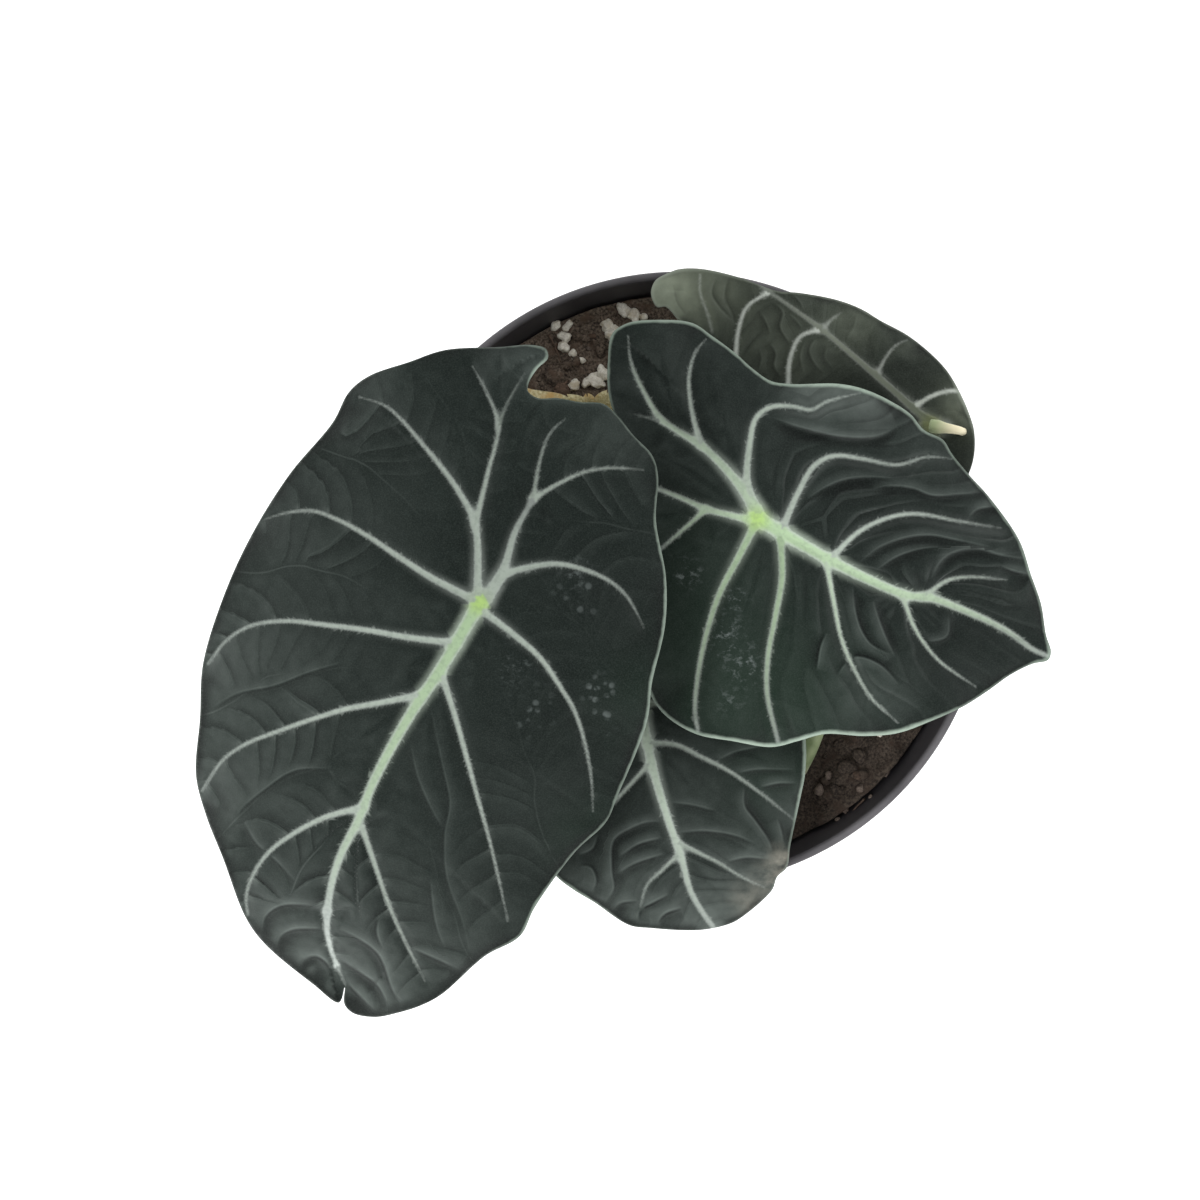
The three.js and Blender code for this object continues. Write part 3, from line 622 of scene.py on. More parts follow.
@dataclass(frozen=True)
class LeafFinish:
    """Leaf tissue with a net of pale veins, painted sheen, painted highlights and painted shade, drawn from
    the fields that a blade stores on its mesh.
    """

    name: str
    tissue: Colour = rgb(12, 20, 17)
    tissue_high: Colour = rgb(25, 32, 29)
    tissue_green: Colour = rgb(15, 34, 22)
    # Painted sheen: the paler pile where the blade slopes away.
    painted_sheen: Colour = rgb(84, 91, 87)
    # Painted shade for hollows, valleys and the feet of folds.
    hollow: Colour = rgb(3, 6, 5)
    # Pale pile: painted highlight on crests, and the pile's own fine grain.
    pale_pile_and_relief_light: Colour = rgb(112, 121, 116)
    vein_grey: Colour = rgb(184, 192, 186)
    vein_green: Colour = rgb(170, 196, 156)
    hub: Colour = rgb(172, 204, 122)
    trim: Colour = rgb(160, 176, 162)
    dry: Colour = rgb(150, 146, 134)
    dust: Colour = rgb(112, 120, 118)
    sheen_tint: Colour = (0.88, 0.94, 0.91, 1.0)
    roughness: float = 0.9
    sheen: float = 0.5
    sheen_roughness: float = 0.45
    specular: float = 0.06
    broad_cells: float = 45
    medium_cells: float = 320
    pile_cells: float = 3300
    rung_line: float = 0.075
    pleat_line: float = 0.15
    fuzz_mm: float = 0.6
    down_pitch: float = 0.75
    spike_pitch: float = 2.3
    bump_mm: float = 0.4

    def build(self) -> bpy.types.Material:
        """Builds the material.

        Returns:
            The finished material.
        """
        s = Shader(self.name)
        broad, medium = s.noise(self.broad_cells, 3.0), s.noise(self.medium_cells, 3.0)
        pile = s.noise(self.pile_cells, 2.0, 0.7)
        rung, rung_shade, rung_height = self._shelves(s, "turn", "rung", self.rung_line)
        pleat, pleat_shade, pleat_height = self._shelves(s, "pleat_turn", "pleat", self.pleat_line)
        creases, crease_shades = zip(*(self._crease(s, which) for which in CREASE_SETS))
        spine = abs(s.field("gap")).rise(0.8, 0.0) * s.field("spine")
        # The pale lines are fine veins and creases drawn in part as painted highlight; valley is their
        # painted shade.
        crest = most(rung, spine * 0.7, pleat * 0.7, *creases)
        valley = most(rung_shade, pleat_shade, *crease_shades)
        body = self._tissue(s, broad, medium, pile, crest, valley)
        body = (self._vein(s, medium, rung) * s.field("pale")).blend(body, self._vein_tone(s))
        ragged = s.field("edge") + (medium - 0.5) * 0.7
        rolled = (ragged / (s.field("trim") * 1.05 + 0.32)).rise(1.0, 0.15)
        trim = rolled * work_out("MINIMUM", s.field("trim"), 1.0)
        relief = pile * 0.12 + medium * 0.3 + (rung_height * 0.9 + pleat_height) + spine * 0.5
        return s.finish(
            Base_Color=trim.blend(body, self.trim), Normal=s.bump(relief, self.bump_mm, 0.8),
            Roughness=self.roughness, Sheen_Weight=self.sheen, Sheen_Roughness=self.sheen_roughness,
            Sheen_Tint=self.sheen_tint, Specular_IOR_Level=self.specular,
        )

    @staticmethod
    def _shelves(s: Shader, turn: str, strength: str, width: float) -> tuple[Term, Term, Term]:
        """Draws a row of sharp shelves from a stored count of turns.

        Args:
            s: The shader to draw in.
            turn: The field that counts the shelves.
            strength: The field that says how strong they are.
            width: Half the width of the pale line along each crest, in turns.

        Returns:
            The crests' pale lines with a painted highlight fading down from each, the painted shade before
            them and the height.
        """
        t, held = work_out("FRACT", s.field(turn)), s.field(strength)
        line = most(abs(t - width).rise(width, 0.0) * 0.62, t.rise(0.5, 0.02) * 0.4)
        return line * held, t.rise(0.62, 1.0) * held, t.rise(0.0, width) * (1.0 - t) * held

    @staticmethod
    def _crease(s: Shader, which: str) -> tuple[Term, Term]:
        """Draws one set of creases: a painted highlight on the raised side and a soft painted shade at its
        foot.

        Args:
            s: The shader to draw in.
            which: The set's letter.

        Returns:
            The painted highlight and the painted shade.
        """
        d, held = s.field("crease_" + which), s.field("held_" + which)
        line = most(abs(d - 0.45).rise(0.5, 0.0) * 0.66, d.rise(3.2, 0.3) * d.rise(-0.1, 0.3) * 0.4)
        shade = most(d.rise(-2.2, -0.1) * d.rise(0.2, -0.1) * 0.75, abs(d + 0.3).rise(0.55, 0.1))
        return line * held, shade * held

    def _tissue(self, s: Shader, broad: Term, medium: Term, pile: Term, crest: Term, valley: Term) -> Term:
        """Colours the tissue between the veins, with painted sheen on slopes, painted highlights on crests
        and painted shade in hollows and valleys.

        Args:
            s: The shader to draw in.
            broad: Noise over centimetres.
            medium: Noise over millimetres.
            pile: Noise over the pile.
            crest: How far each spot lies on a crest's line, which is painted pale as a highlight.
            valley: How far each spot lies in a shelf's painted shade.

        Returns:
            The tissue's colour.
        """
        patchy, pale_pile_and_relief_light = medium * 0.7 + 0.55, s.field("pale_pile_and_relief_light")
        body = (broad * 0.8 + medium * 0.35).rise(0.35, 0.85).blend(self.tissue, self.tissue_high)
        body = s.field("green").blend(body, self.tissue_green)
        # Painted sheen where the pile slopes away.
        body = (s.field("painted_sheen") * patchy).blend(body, self.painted_sheen)
        # Painted highlight on crests and raised sides.
        body = (most(pale_pile_and_relief_light * 0.5, crest * 0.58, 0.0) * patchy).blend(body, self.pale_pile_and_relief_light)
        # Painted shade in hollows, valleys and shade patches.
        body = most(pale_pile_and_relief_light * -0.9, valley * 0.92, 0.0).blend(body, self.hollow)
        body = (pile.rise(0.35, 0.75) * 0.08).blend(body, self.pale_pile_and_relief_light)
        spots = s.field("dusted") * s.cells(DUST_CELLS).rise(0.45, 0.2)
        body = (spots * medium.rise(0.42, 0.6)).blend(body, self.dust)
        body = (s.field("scuffed") * self._flecks(s)).blend(body, self.dust)
        return (s.field("dry") * medium.rise(0.2, 0.75)).blend(body, self.dry)

    @staticmethod
    def _flecks(s: Shader) -> Term:
        """Draws short level flecks, for scuffed pile.

        Args:
            s: The shader to draw in.

        Returns:
            The flecks' strength.
        """
        squeezed = s.read("Vector", "Mapping", Vector=s.place(), Scale=(0.9, 1.2, 1.0))
        streaks = s.read("Fac", "TexNoise", Vector=squeezed, Scale=FLECK_CELLS, Detail=5.0, Roughness=0.7)
        return streaks.rise(0.5, 0.7)

    def _vein_tone(self, s: Shader) -> Term:
        """Colours the veins: green along the middle of the green ones, greyer at their edges.

        Args:
            s: The shader to draw in.

        Returns:
            The colour.
        """
        middle = (s.field("vein") / (s.field("girth") + 0.05)).rise(-0.1, -0.6)
        tone = (s.field("leafy") * (middle * 0.65 + 0.35)).blend(self.vein_grey, self.vein_green)
        tone = (s.field("heart").rise(5.0, 0.5) * s.field("leafy")).blend(tone, self.hub)
        return (s.noise(TONE_CELLS, 1.0).rise(0.42, 0.7) * 0.2).blend(tone, self.pale_pile_and_relief_light)

    @staticmethod
    def _fringe(s: Shader, along: Term, pitch: float, reach: Term) -> Term:
        """Draws slanted barbs that taper away from a vein's edge.

        Args:
            s: The shader to draw in.
            along: How far along the vein each spot lies, slanted.
            pitch: The barbs' mean spacing in millimetres.
            reach: The barbs' length in millimetres.

        Returns:
            The barbs' strength.
        """
        phase = along / pitch + s.noise(BARB_CELLS, 1.0) * 3.0
        beat = abs(work_out("FRACT", phase) - 0.5)
        near = most(1.0 - most(s.field("vein"), 0.0) / reach, 0.0)
        return (beat + near * 0.25).rise(0.4, 0.62) * near

    def _vein(self, s: Shader, medium: Term, rung: Term) -> Term:
        """Draws the veins with downy edges, barbs where the rungs leave them and a soft halo near the hub.

        Args:
            s: The shader to draw in.
            medium: Noise for the barbs' places.
            rung: The pale lines of the rungs.

        Returns:
            The veins' strength.
        """
        vein, girth = s.field("vein"), s.field("girth")
        core = (vein + (s.noise(DOWN_CELLS, 3.0, 0.7) - 0.5) * self.fuzz_mm).rise(0.4, -0.45)
        slanted = s.field("run") - s.field("away") * 0.5
        down = self._fringe(s, slanted, self.down_pitch, girth * 0.4 + 0.45)
        spikes = self._fringe(s, slanted, self.spike_pitch, girth * 0.75 + 0.55) * medium.rise(0.46, 0.6)
        leaving = rung * vein.rise(2.0, 0.2) * 0.4
        near_hub = work_out("POWER", vein.rise(2.4, -0.4) * s.field("heart").rise(80.0, 5.0), 2.0)
        return most(core, down * 0.34, spikes * 0.5, leaving, near_hub * (girth.rise(0.4, 1.6) * 0.6))


@dataclass(frozen=True)
class MixFinish:
    """A rough, patchy material of two tones, for soil, perlite, bark and sheaths."""

    name: str
    dark: Colour
    light: Colour
    tint: Colour
    broad: float
    grain: float
    roughness: float
    bump_mm: float
    sheen: float = 0.0
    specular: float = 0.3
    lower_right_darkening: float = 0.0
    lower_right_tone: Colour = rgb(20, 15, 14)
    lower_right_reach: float = 0.07

    def build(self) -> bpy.types.Material:
        """Builds the material, darker towards the lower right where it has any darkening.

        Returns:
            The finished material.
        """
        s = Shader(self.name)
        broad, grain = s.noise(self.broad, 4.0, 0.6), s.noise(self.grain, 4.0, 0.65)
        body = grain.rise(0.3, 0.7).blend(self.dark, self.light)
        body = broad.rise(0.48, 0.7).blend(body, self.tint)
        x, y = (s.read(axis, "SeparateXYZ", Vector=s.place()) for axis in "XY")
        # Darker towards the lower right, by a ramp across the plan.
        return s.finish(
            Base_Color=((x - y).rise(0.0, self.lower_right_reach) * self.lower_right_darkening).blend(body, self.lower_right_tone),
            Normal=s.bump(grain + broad * 0.5, self.bump_mm, 0.9), Roughness=self.roughness,
            Sheen_Weight=self.sheen, Specular_IOR_Level=self.specular,
        )


@dataclass(frozen=True)
class StalkFinish:
    """Pale green leaf stalk, mottled, turning cream where it leaves its sheath and at its upper end."""

    name: str = "leaf_stalk"
    green: Colour = rgb(132, 152, 104)
    pale: Colour = rgb(168, 182, 138)
    cream: Colour = rgb(246, 236, 200)
    fleck: Colour = rgb(88, 72, 62)
    broad_cells: float = 140
    grain_cells: float = 1400
    bump_mm: float = 0.12

    def build(self) -> bpy.types.Material:
        """Builds the material.

        Returns:
            The finished material.
        """
        s = Shader(self.name)
        broad, grain = s.noise(self.broad_cells, 3.0), s.noise(self.grain_cells, 3.0, 0.6)
        body = s.field("cream").blend(broad.rise(0.35, 0.7).blend(self.green, self.pale), self.cream)
        flecks = most(grain.rise(0.66, 0.74) * (0.55 - s.field("cream")), 0.0)
        return s.finish(
            Base_Color=flecks.blend(body, self.fleck), Normal=s.bump(grain, self.bump_mm, 0.7), Roughness=0.5,
            Sheen_Weight=0.15, Specular_IOR_Level=0.4,
        )


@dataclass(frozen=True)
class PotFinish:
    """Thin black moulded plastic, with dust, water marks and a paler lip that is partly abrasion and partly
    painted highlight.
    """

    name: str = "pot_plastic"
    black: Colour = rgb(53, 51, 54)
    dusty: Colour = rgb(70, 66, 66)
    # Pale grey for abrasion and the painted highlight on the lip's edges.
    abraded_and_highlight_grey: Colour = rgb(118, 116, 119)
    broad_cells: float = 28
    grain_cells: float = 1100
    mark_cells: float = 150
    bump_mm: float = 0.05

    def build(self) -> bpy.types.Material:
        """Builds the material.

        Returns:
            The finished material.
        """
        s = Shader(self.name)
        broad, grain = s.noise(self.broad_cells, 4.0, 0.6), s.noise(self.grain_cells, 3.0)
        body = (broad.rise(0.45, 0.75) * 0.6).blend(self.black, self.dusty)
        body = (s.cells(self.mark_cells).rise(0.16, 0.09) * broad.rise(0.5, 0.7)).blend(body, self.dusty)
        # The lip's paler edges are partly abrasion and partly painted highlight.
        return s.finish(
            Base_Color=(s.field("abrasion_and_highlight") * broad.rise(0.2, 0.8)).blend(body, self.abraded_and_highlight_grey),
            Normal=s.bump(grain * 0.5 + broad, self.bump_mm, 0.5), Roughness=broad * 0.25 + 0.42,
            Specular_IOR_Level=0.35,
        )


# ---- blades ----

FREE_TIP = 0.5
POINT_LOSS = 0.7
NEAR_ROUNDS = 14
WIDE_ROUNDS = 90
LINE_APART = 50
SIDE_APART = 20
CALM_REACH = 4
TROUGH_REACH = 1.2
FULL_RISE = 1.1
CREASE_REACH = 4.0
CREASE_FULL = 2.2


@dataclass(frozen=True)
class Vein:
    """A main vein on the plan: its route, its width at both ends and how pale and how green it is."""

    route: Sequence[Point]
    start: float
    end: float
    pale: float = 0.8
    leafy: float = 0.2
    fade: float = 0.4

    def half_width(self, share: Array) -> Array:
        """Half its width at shares of its length, drawn out to a point where its tip ends free."""
        width = self.start + (self.end - self.start) * share**0.8
        return width * (1 - (POINT_LOSS if self.end <= FREE_TIP else 0.0) * smooth_step(0.82, 1.0, share)) / 2


@dataclass(frozen=True)
class Fold:
    """A sharp fold: the blade rises steeply on the left of the route and eases back over a width."""

    route: Sequence[Point]
    rise: float
    width: float
    steep: float = 1.6


@dataclass(frozen=True)
class Pose:
    """How a blade is held: its height on the stalk, and how it falls towards its tip and sides."""

    lift: float
    tilt: float
    droop: float
    roll: float
    arch_right: float
    arch_left: float
    keel: float
    keel_width: float = 3.0


@dataclass(frozen=True)
class Wave:
    """The waves of a blade's margin."""

    height: float
    count: int
    reach: float


@dataclass(frozen=True)
class Pleats:
    """The fine relief between the main veins: rungs that leave a vein, and folds that run beside it."""

    rung_rise: float
    rung_pitch: float
    rung_least: float = 0.2
    rung_lean: float = 0.2
    rung_bend: float = 0.034
    rung_spots: Sequence[Patch] = ()
    fold_rise: float = 0.0
    fold_count: float = 2.0
    band_pitch: float = 0.0
    band_lean: float = 0.2
    band_bend: float = 0.035
    fold_spots: Sequence[Patch] = ()
    calm_spots: Sequence[Patch] = ()
    steep_part: float = 0.16


def shelf(turn: Array, steep: float) -> Array:
    """A profile that rises quickly and falls slowly, once a turn, from 0 to 1 and back."""
    t = turn - np.floor(turn)
    return np.where(t < steep, smooth_step(0.0, steep, t), (1 - t) / (1 - steep))


def soften(values: Array, faces: Array, rounds: int) -> Array:
    """Averages a field over each vertex's neighbours a number of times.

    Args:
        values: The field, one number for each vertex.
        faces: The triangles that make neighbours.
        rounds: How many times to average.

    Returns:
        The softened field.
    """
    pairs = np.vstack([faces[:, [0, 1]], faces[:, [1, 2]], faces[:, [2, 0]]])
    count = np.maximum(1, np.bincount(pairs.ravel(), minlength=len(values)))
    for _ in range(rounds):
        total = np.bincount(pairs[:, 0], values[pairs[:, 1]], len(values))
        total += np.bincount(pairs[:, 1], values[pairs[:, 0]], len(values))
        values = total / count
    return values


def steepness(places: Array, faces: Array) -> Array:
    """Gives the tangent of the slope at each vertex of a sheet.

    Args:
        places: The sheet's places.
        faces: Its triangles.

    Returns:
        One number for each vertex.
    """
    a, b, c = (places[faces[:, k]] for k in range(3))
    normals = np.cross(b - a, c - a).T
    x, y, z = (sum(np.bincount(faces[:, k], along, len(places)) for k in range(3)) for along in normals)
    return np.hypot(x, y) / np.maximum(TINY, np.abs(z))


def inside(rim: Array, points: Array) -> Array:
    """Says which points lie inside a closed outline.

    Args:
        rim: The outline's points in order.
        points: The points, one row each.

    Returns:
        True or False for each point.
    """
    within = np.zeros(len(points), bool)
    x, y = points.T
    for (ax, ay), (bx, by) in zip(rim, np.roll(rim, -1, axis=0)):
        if ay != by:
            within ^= ((ay > y) != (by > y)) & (x < (bx - ax) * (y - ay) / (by - ay) + ax)
    return within


def pick(rows: Sequence[Array], which: Array) -> Array:
    """Takes each point's value from the row that is named for it."""
    return np.take_along_axis(np.array(rows), which[None], axis=0)[0]


@dataclass
class Blade:
    """One leaf blade: plan outline, net of veins, folds, height field and the tones of its patches, painted
    sheen and painted shade among them.
    """

    name: str
    node: str
    attach: Point
    tip: Point
    pose: Pose
    quilt: float
    wave: Wave
    pleats: Pleats
    outline: Sequence[Point]
    veins: Sequence[Vein]
    swells: Sequence[Patch]
    folds: Sequence[Fold]
    spots: dict[str, Sequence[Patch]]
    underside_up: bool = False
    cell: float = 0.6
    half_middle: float = 0.4
    half_margin: float = 0.2
    groove: float = 0.25
    rib: float = 0.75
    merge: float = 1.6
    vein_strength: float = 1.0
    trim_least: float = 0.1
    seed: int = 1
    points: Array = field(init=False)
    faces: Array = field(init=False)
    fields: dict[str, Array] = field(default_factory=dict)

    # Patch fields: painted sheen, painted shade, the pale margin, green tissue, dust, scuffs and dry patches.
    TONES = ("painted_sheen", "painted_shade", "trim", "green", "dusted", "scuffed", "dry")
    STORED = (
        "vein", "away", "run", "edge", "pale", "leafy", "girth", "heart", "pale_pile_and_relief_light", "painted_sheen", "trim", "green",
        "dusted", "scuffed", "dry", "turn", "rung", "pleat_turn", "pleat", "gap", "spine", "crease_a",
        "held_a", "crease_b", "held_b",
    )

    def noise(self, size: float, seed: int) -> Array:
        """Smooth random numbers over the plan, by a seed that is added to the blade's own."""
        return value_noise(self.points, size, self.seed + seed)

    def split(self) -> None:
        """Splits the plan outline into even triangles that turn anticlockwise."""
        rim = smooth_line(self.outline, self.cell, closed=True)
        low, high = rim.min(0), rim.max(0)
        rows = np.arange(low[1], high[1], self.cell * math.sqrt(3) / 2)
        xs = np.arange(low[0], high[0], self.cell)
        grid = np.array([(x + (i % 2) * self.cell / 2, y) for i, y in enumerate(rows) for x in xs])
        grid = grid[inside(rim, grid)]
        grid = grid[trace(np.vstack([rim, rim[:1]]), grid).distance > self.cell * 0.55]
        edges = [(k, (k + 1) % len(rim)) for k in range(len(rim))]
        found = delaunay_2d_cdt([Vector(p) for p in np.vstack([rim, grid])], edges, [], 1, 1e-6)
        self.points = np.array([tuple(place) for place in found[0]])
        faces = np.array(found[2])
        faces = faces[inside(rim, self.points[faces].mean(axis=1))]
        a, b, c = (self.points[faces[:, k]] for k in range(3))
        turned = (b[:, 0] - a[:, 0]) * (c[:, 1] - a[:, 1]) - (b[:, 1] - a[:, 1]) * (c[:, 0] - a[:, 0]) < 0
        faces[turned] = faces[turned][:, ::-1]
        self.faces = faces

    def survey(self) -> None:
        """Works out the fields that the height and the finish are drawn from."""
        f, points = self.fields, self.points
        traces = [trace(smooth_line(vein.route, 1.5), points) for vein in self.veins]
        apart = np.array([t.apart for t in traces])
        order = np.argsort(apart, axis=0)
        first, second, third = np.take_along_axis(apart, order[:3], axis=0)
        halves = [vein.half_width(t.share) for vein, t in zip(self.veins, traces)]
        outside = np.array([t.distance - half for t, half in zip(traces, halves)])
        inmost = np.argmin(outside, axis=0)
        pale = [vein.pale * (1 - vein.fade * t.share**2.2) for vein, t in zip(self.veins, traces)]
        leafy = [vein.leafy * (1 - 0.5 * t.share - 0.5 * t.share**5) for vein, t in zip(self.veins, traces)]
        f["vein"] = -np.log(np.exp(-self.merge * outside).sum(axis=0)) / self.merge
        f["pale"] = np.minimum(1.0, pick(pale, inmost) * self.vein_strength)
        f["leafy"], f["girth"] = pick(leafy, inmost), pick(halves, inmost)
        for name in ("run", "side", "past"):
            f[name] = pick([getattr(t, name) for t in traces], order[0])
        f["main_run"], f["main_away"], f["main_side"] = traces[0].run, traces[0].distance, traces[0].side
        f["line"] = order[0].astype(float)
        f["gap"] = (second - first) * np.where(order[0] < order[1], 1.0, -1.0)
        f["away"], f["second"] = first, second
        f["between"] = first / np.maximum(TINY, (first + second) / 2)
        f["sure"] = smooth_step(0.6, 3.5, third - second)
        f["heart"] = np.hypot(*(points - self.attach).T)
        rim = smooth_line(self.outline, 1.5, closed=True)
        around = trace(np.vstack([rim, rim[:1]]), points)
        f["edge"], f["around"] = around.distance, around.share
        for tone in self.TONES:
            least = self.trim_least if tone == "trim" else 0.0
            f[tone] = np.clip(patches(self.spots.get(tone, ()), points, least), 0.0, 1.0)

    def lift(self) -> Array:
        """Gives the height of the blade's middle surface above the rim.

        Returns:
            One height for each point, in millimetres.
        """
        f, pose = self.fields, self.pose
        axis = np.array(self.tip, float) - self.attach
        axis /= np.linalg.norm(axis)
        away = self.points - self.attach
        along, across = away @ axis, away @ [-axis[1], axis[0]]
        arch = np.where(across < 0, pose.arch_right, pose.arch_left)
        lift = pose.lift + pose.tilt * along + pose.roll * across
        lift = lift - pose.droop * np.maximum(0.0, along) ** 2 - arch * across**2
        lift -= pose.keel * (np.hypot(across, pose.keel_width) - pose.keel_width)
        lift += patches(self.swells, self.points)
        lift += self.quilt * np.sin(f["between"] * math.pi / 2) * np.minimum(1.0, f["second"] / 8)
        wave = np.sin(f["around"] * self.wave.count * TAU) * np.exp(-f["edge"] / self.wave.reach)
        return lift + self.wave.height * wave + self._fine_relief()

    def _fine_relief(self) -> Array:
        """Folds and pleats the blade between its veins.

        Returns:
            One height for each point, in millimetres.
        """
        f, p = self.fields, self.pleats
        relief, calm = self._drawn_folds()
        for row in p.calm_spots:
            calm *= 1 - np.minimum(1.0, patches([row], self.points))
        let = calm * smooth_step(-0.3, 0.5, f["vein"])
        self._rungs(let)
        self._pleats(let)
        relief += p.rung_rise * shelf(f["turn"], p.steep_part) * f["rung"]
        relief += p.fold_rise * shelf(f["pleat_turn"], p.steep_part) * f["pleat"]
        crumple = self.noise(3.0, 9) * 0.05 + self.noise(9.0, 3) * 0.25
        return (relief + crumple) * smooth_step(0.2, 2.2, f["vein"])

    def _drawn_folds(self) -> tuple[Array, Array]:
        """Raises the folds that are drawn one by one, and stores how far each point lies across the nearest.

        Neighbours in the list go to two sets of fields in turn, so that each crease keeps its own clean line.

        Returns:
            The relief, and how far the finer pleats are let through.
        """
        f = self.fields
        relief, calm = np.zeros(len(self.points)), np.ones(len(self.points))
        clear = smooth_step(0.2, 1.6, f["vein"])
        for which in CREASE_SETS:
            f["crease_" + which], f["held_" + which] = np.full_like(relief, FAR), np.zeros_like(relief)
        for i, fold in enumerate(self.folds):
            t = trace(smooth_line(fold.route, 1.0), self.points)
            hold = np.sin(math.pi * np.clip(t.share, 0.0, 1.0)) ** 0.6
            up = (1 - np.exp(-t.distance / fold.steep)) * np.exp(-t.distance / fold.width)
            down = -0.3 * (t.distance / TROUGH_REACH) * np.exp(1 - t.distance / TROUGH_REACH)
            relief += fold.rise * hold * np.where(t.side > 0, up, down)
            calm *= 1 - 0.85 * hold * np.exp(-((t.distance / CALM_REACH) ** 2))
            near = smooth_step(CREASE_REACH, CREASE_FULL, t.distance)
            held = hold * min(1.0, fold.rise / FULL_RISE) * near * clear
            which = CREASE_SETS[i % len(CREASE_SETS)]
            crease, strength = "crease_" + which, "held_" + which
            closer = t.distance < np.abs(f[crease])
            f[crease] = np.where(closer, t.distance * t.side, f[crease])
            f[strength] = np.where(closer, held, f[strength])
        return relief, calm

    def _rungs(self, let: Array) -> None:
        """Lays out the finer veins that leave a main vein like rungs and curve towards the margin.

        Args:
            let: How far each point lets them show.
        """
        f, p = self.fields, self.pleats
        slid = f["run"] - p.rung_lean * f["away"] - p.rung_bend * f["away"] ** 2
        strand = f["line"] * LINE_APART + f["side"] * SIDE_APART
        turn = slid / p.rung_pitch + 0.5 * value_noise(np.stack([slid, strand], axis=1), 11.0, self.seed)
        f["turn"] = turn + 0.16 * self.noise(8.0, 1)
        own = value_noise(np.stack([f["turn"], strand], axis=1), 1.8, self.seed + 2)
        outer = np.clip(patches(p.rung_spots, self.points, p.rung_least), 0.0, 1.0)
        outer *= let * smooth_step(48.0, 22.0, f["edge"])
        held = smooth_step(1.0, 0.8, f["between"]) * smooth_step(2.5, 0.3, f["past"])
        f["rung"] = np.clip(0.6 + 0.5 * own, 0.0, 1.0) * held * outer
        f["gap"] = f["gap"] + 1.6 * self.noise(7.0, 4)
        spine = 0.6 * smooth_step(3.5, 7.0, f["away"]) * smooth_step(6.0, 2.0, f["past"])
        f["spine"] = spine * outer * f["sure"]

    def _pleats(self, let: Array) -> None:
        """Lays out the pleats that run beside the main veins, or in bands that leave the midrib.

        Args:
            let: How far each point lets them show.
        """
        f, p = self.fields, self.pleats
        strength = np.clip(patches(p.fold_spots, self.points), 0.0, 1.0) * let
        if p.band_pitch:
            slid = f["main_run"] - p.band_lean * f["main_away"] - p.band_bend * f["main_away"] ** 2
            turn = slid / p.band_pitch + 0.7 * f["main_side"] + 0.4 * self.noise(12.0, 5)
        else:
            turn = f["between"] * p.fold_count + 0.45 * self.noise(15.0, 5)
            strength *= smooth_step(2.5, 6.0, f["second"])
        f["pleat_turn"] = turn + 0.12 * self.noise(5.0, 6)
        f["pleat"] = strength * (0.7 + 0.3 * self.noise(9.0, 7))

    def _shade(self, middle: Array, lift: Array) -> None:
        """Works out the painted light: painted sheen on slopes, painted highlight on crests and painted shade
        in hollows.

        Args:
            middle: The middle surface's places in metres.
            lift: Its heights in millimetres.
        """
        f = self.fields
        near = soften(lift, self.faces, NEAR_ROUNDS)
        wide = soften(near, self.faces, WIDE_ROUNDS - NEAR_ROUNDS)
        relief = np.tanh((lift - near) / 0.16) * 0.6 + np.minimum(0.0, np.tanh(lift - wide)) * 0.7
        clear = smooth_step(0.3, 4.5, f["vein"])
        # Crests are painted pale and hollows painted dark, less the painted shade patches.
        f["pale_pile_and_relief_light"] = np.clip(np.where(relief > 0, 0.3, 0.8) * relief * clear - f["painted_shade"], -1.0, 1.0)
        # Painted sheen grows with the slope.
        slope = smooth_step(0.25, 1.3, steepness(middle, self.faces))
        f["painted_sheen"] = np.clip(f["painted_sheen"] + 0.3 * slope, 0.0, 1.0)

    def build(self, velvet: bpy.types.Material, underside: bpy.types.Material) -> bpy.types.Object:
        """Builds the blade's mesh with both faces, its margin and its ribs.

        Args:
            velvet: The finish of the leaf's upper side.
            underside: The finish of its lower side.

        Returns:
            The finished piece.
        """
        self.split()
        self.survey()
        f, faces, count = self.fields, self.faces, len(self.points)
        lift = self.lift()
        half = self.half_margin + (self.half_middle - self.half_margin) * smooth_step(0.0, 2.5, f["edge"])
        hollow = -self.groove * smooth_step(1.2, -0.6, f["vein"])
        rib = self.rib * smooth_step(0.9, -0.7, f["vein"]) * smooth_step(0.0, 3.0, f["edge"])
        above, below = (rib, -hollow) if self.underside_up else (hollow, rib)
        middle = PLAN.lift_off(*self.points.T, lift)
        self._shade(middle, lift)
        up = np.array([0, 0, MM])
        places = np.vstack([middle + np.outer(half + above, up), middle - np.outer(half + below, up)])
        sides = {edge for a, b, c in faces.tolist() for edge in ((a, b), (b, c), (c, a))}
        walls = [(p, count + p, count + q, q) for p, q in sorted(sides) if (q, p) not in sides]
        piece = new_mesh(self.name, places, faces.tolist() + (faces[:, ::-1] + count).tolist() + walls)
        for name in self.STORED:
            add_field(piece, name, np.tile(f[name], 2))
        settle(piece, (underside, velvet) if self.underside_up else (velvet, underside), Slot.LEAF, self.node)
        indexes = np.zeros(len(piece.data.polygons), np.int32)
        indexes[len(faces) : 2 * len(faces)] = 1
        piece.data.polygons.foreach_set("material_index", indexes)
        return piece


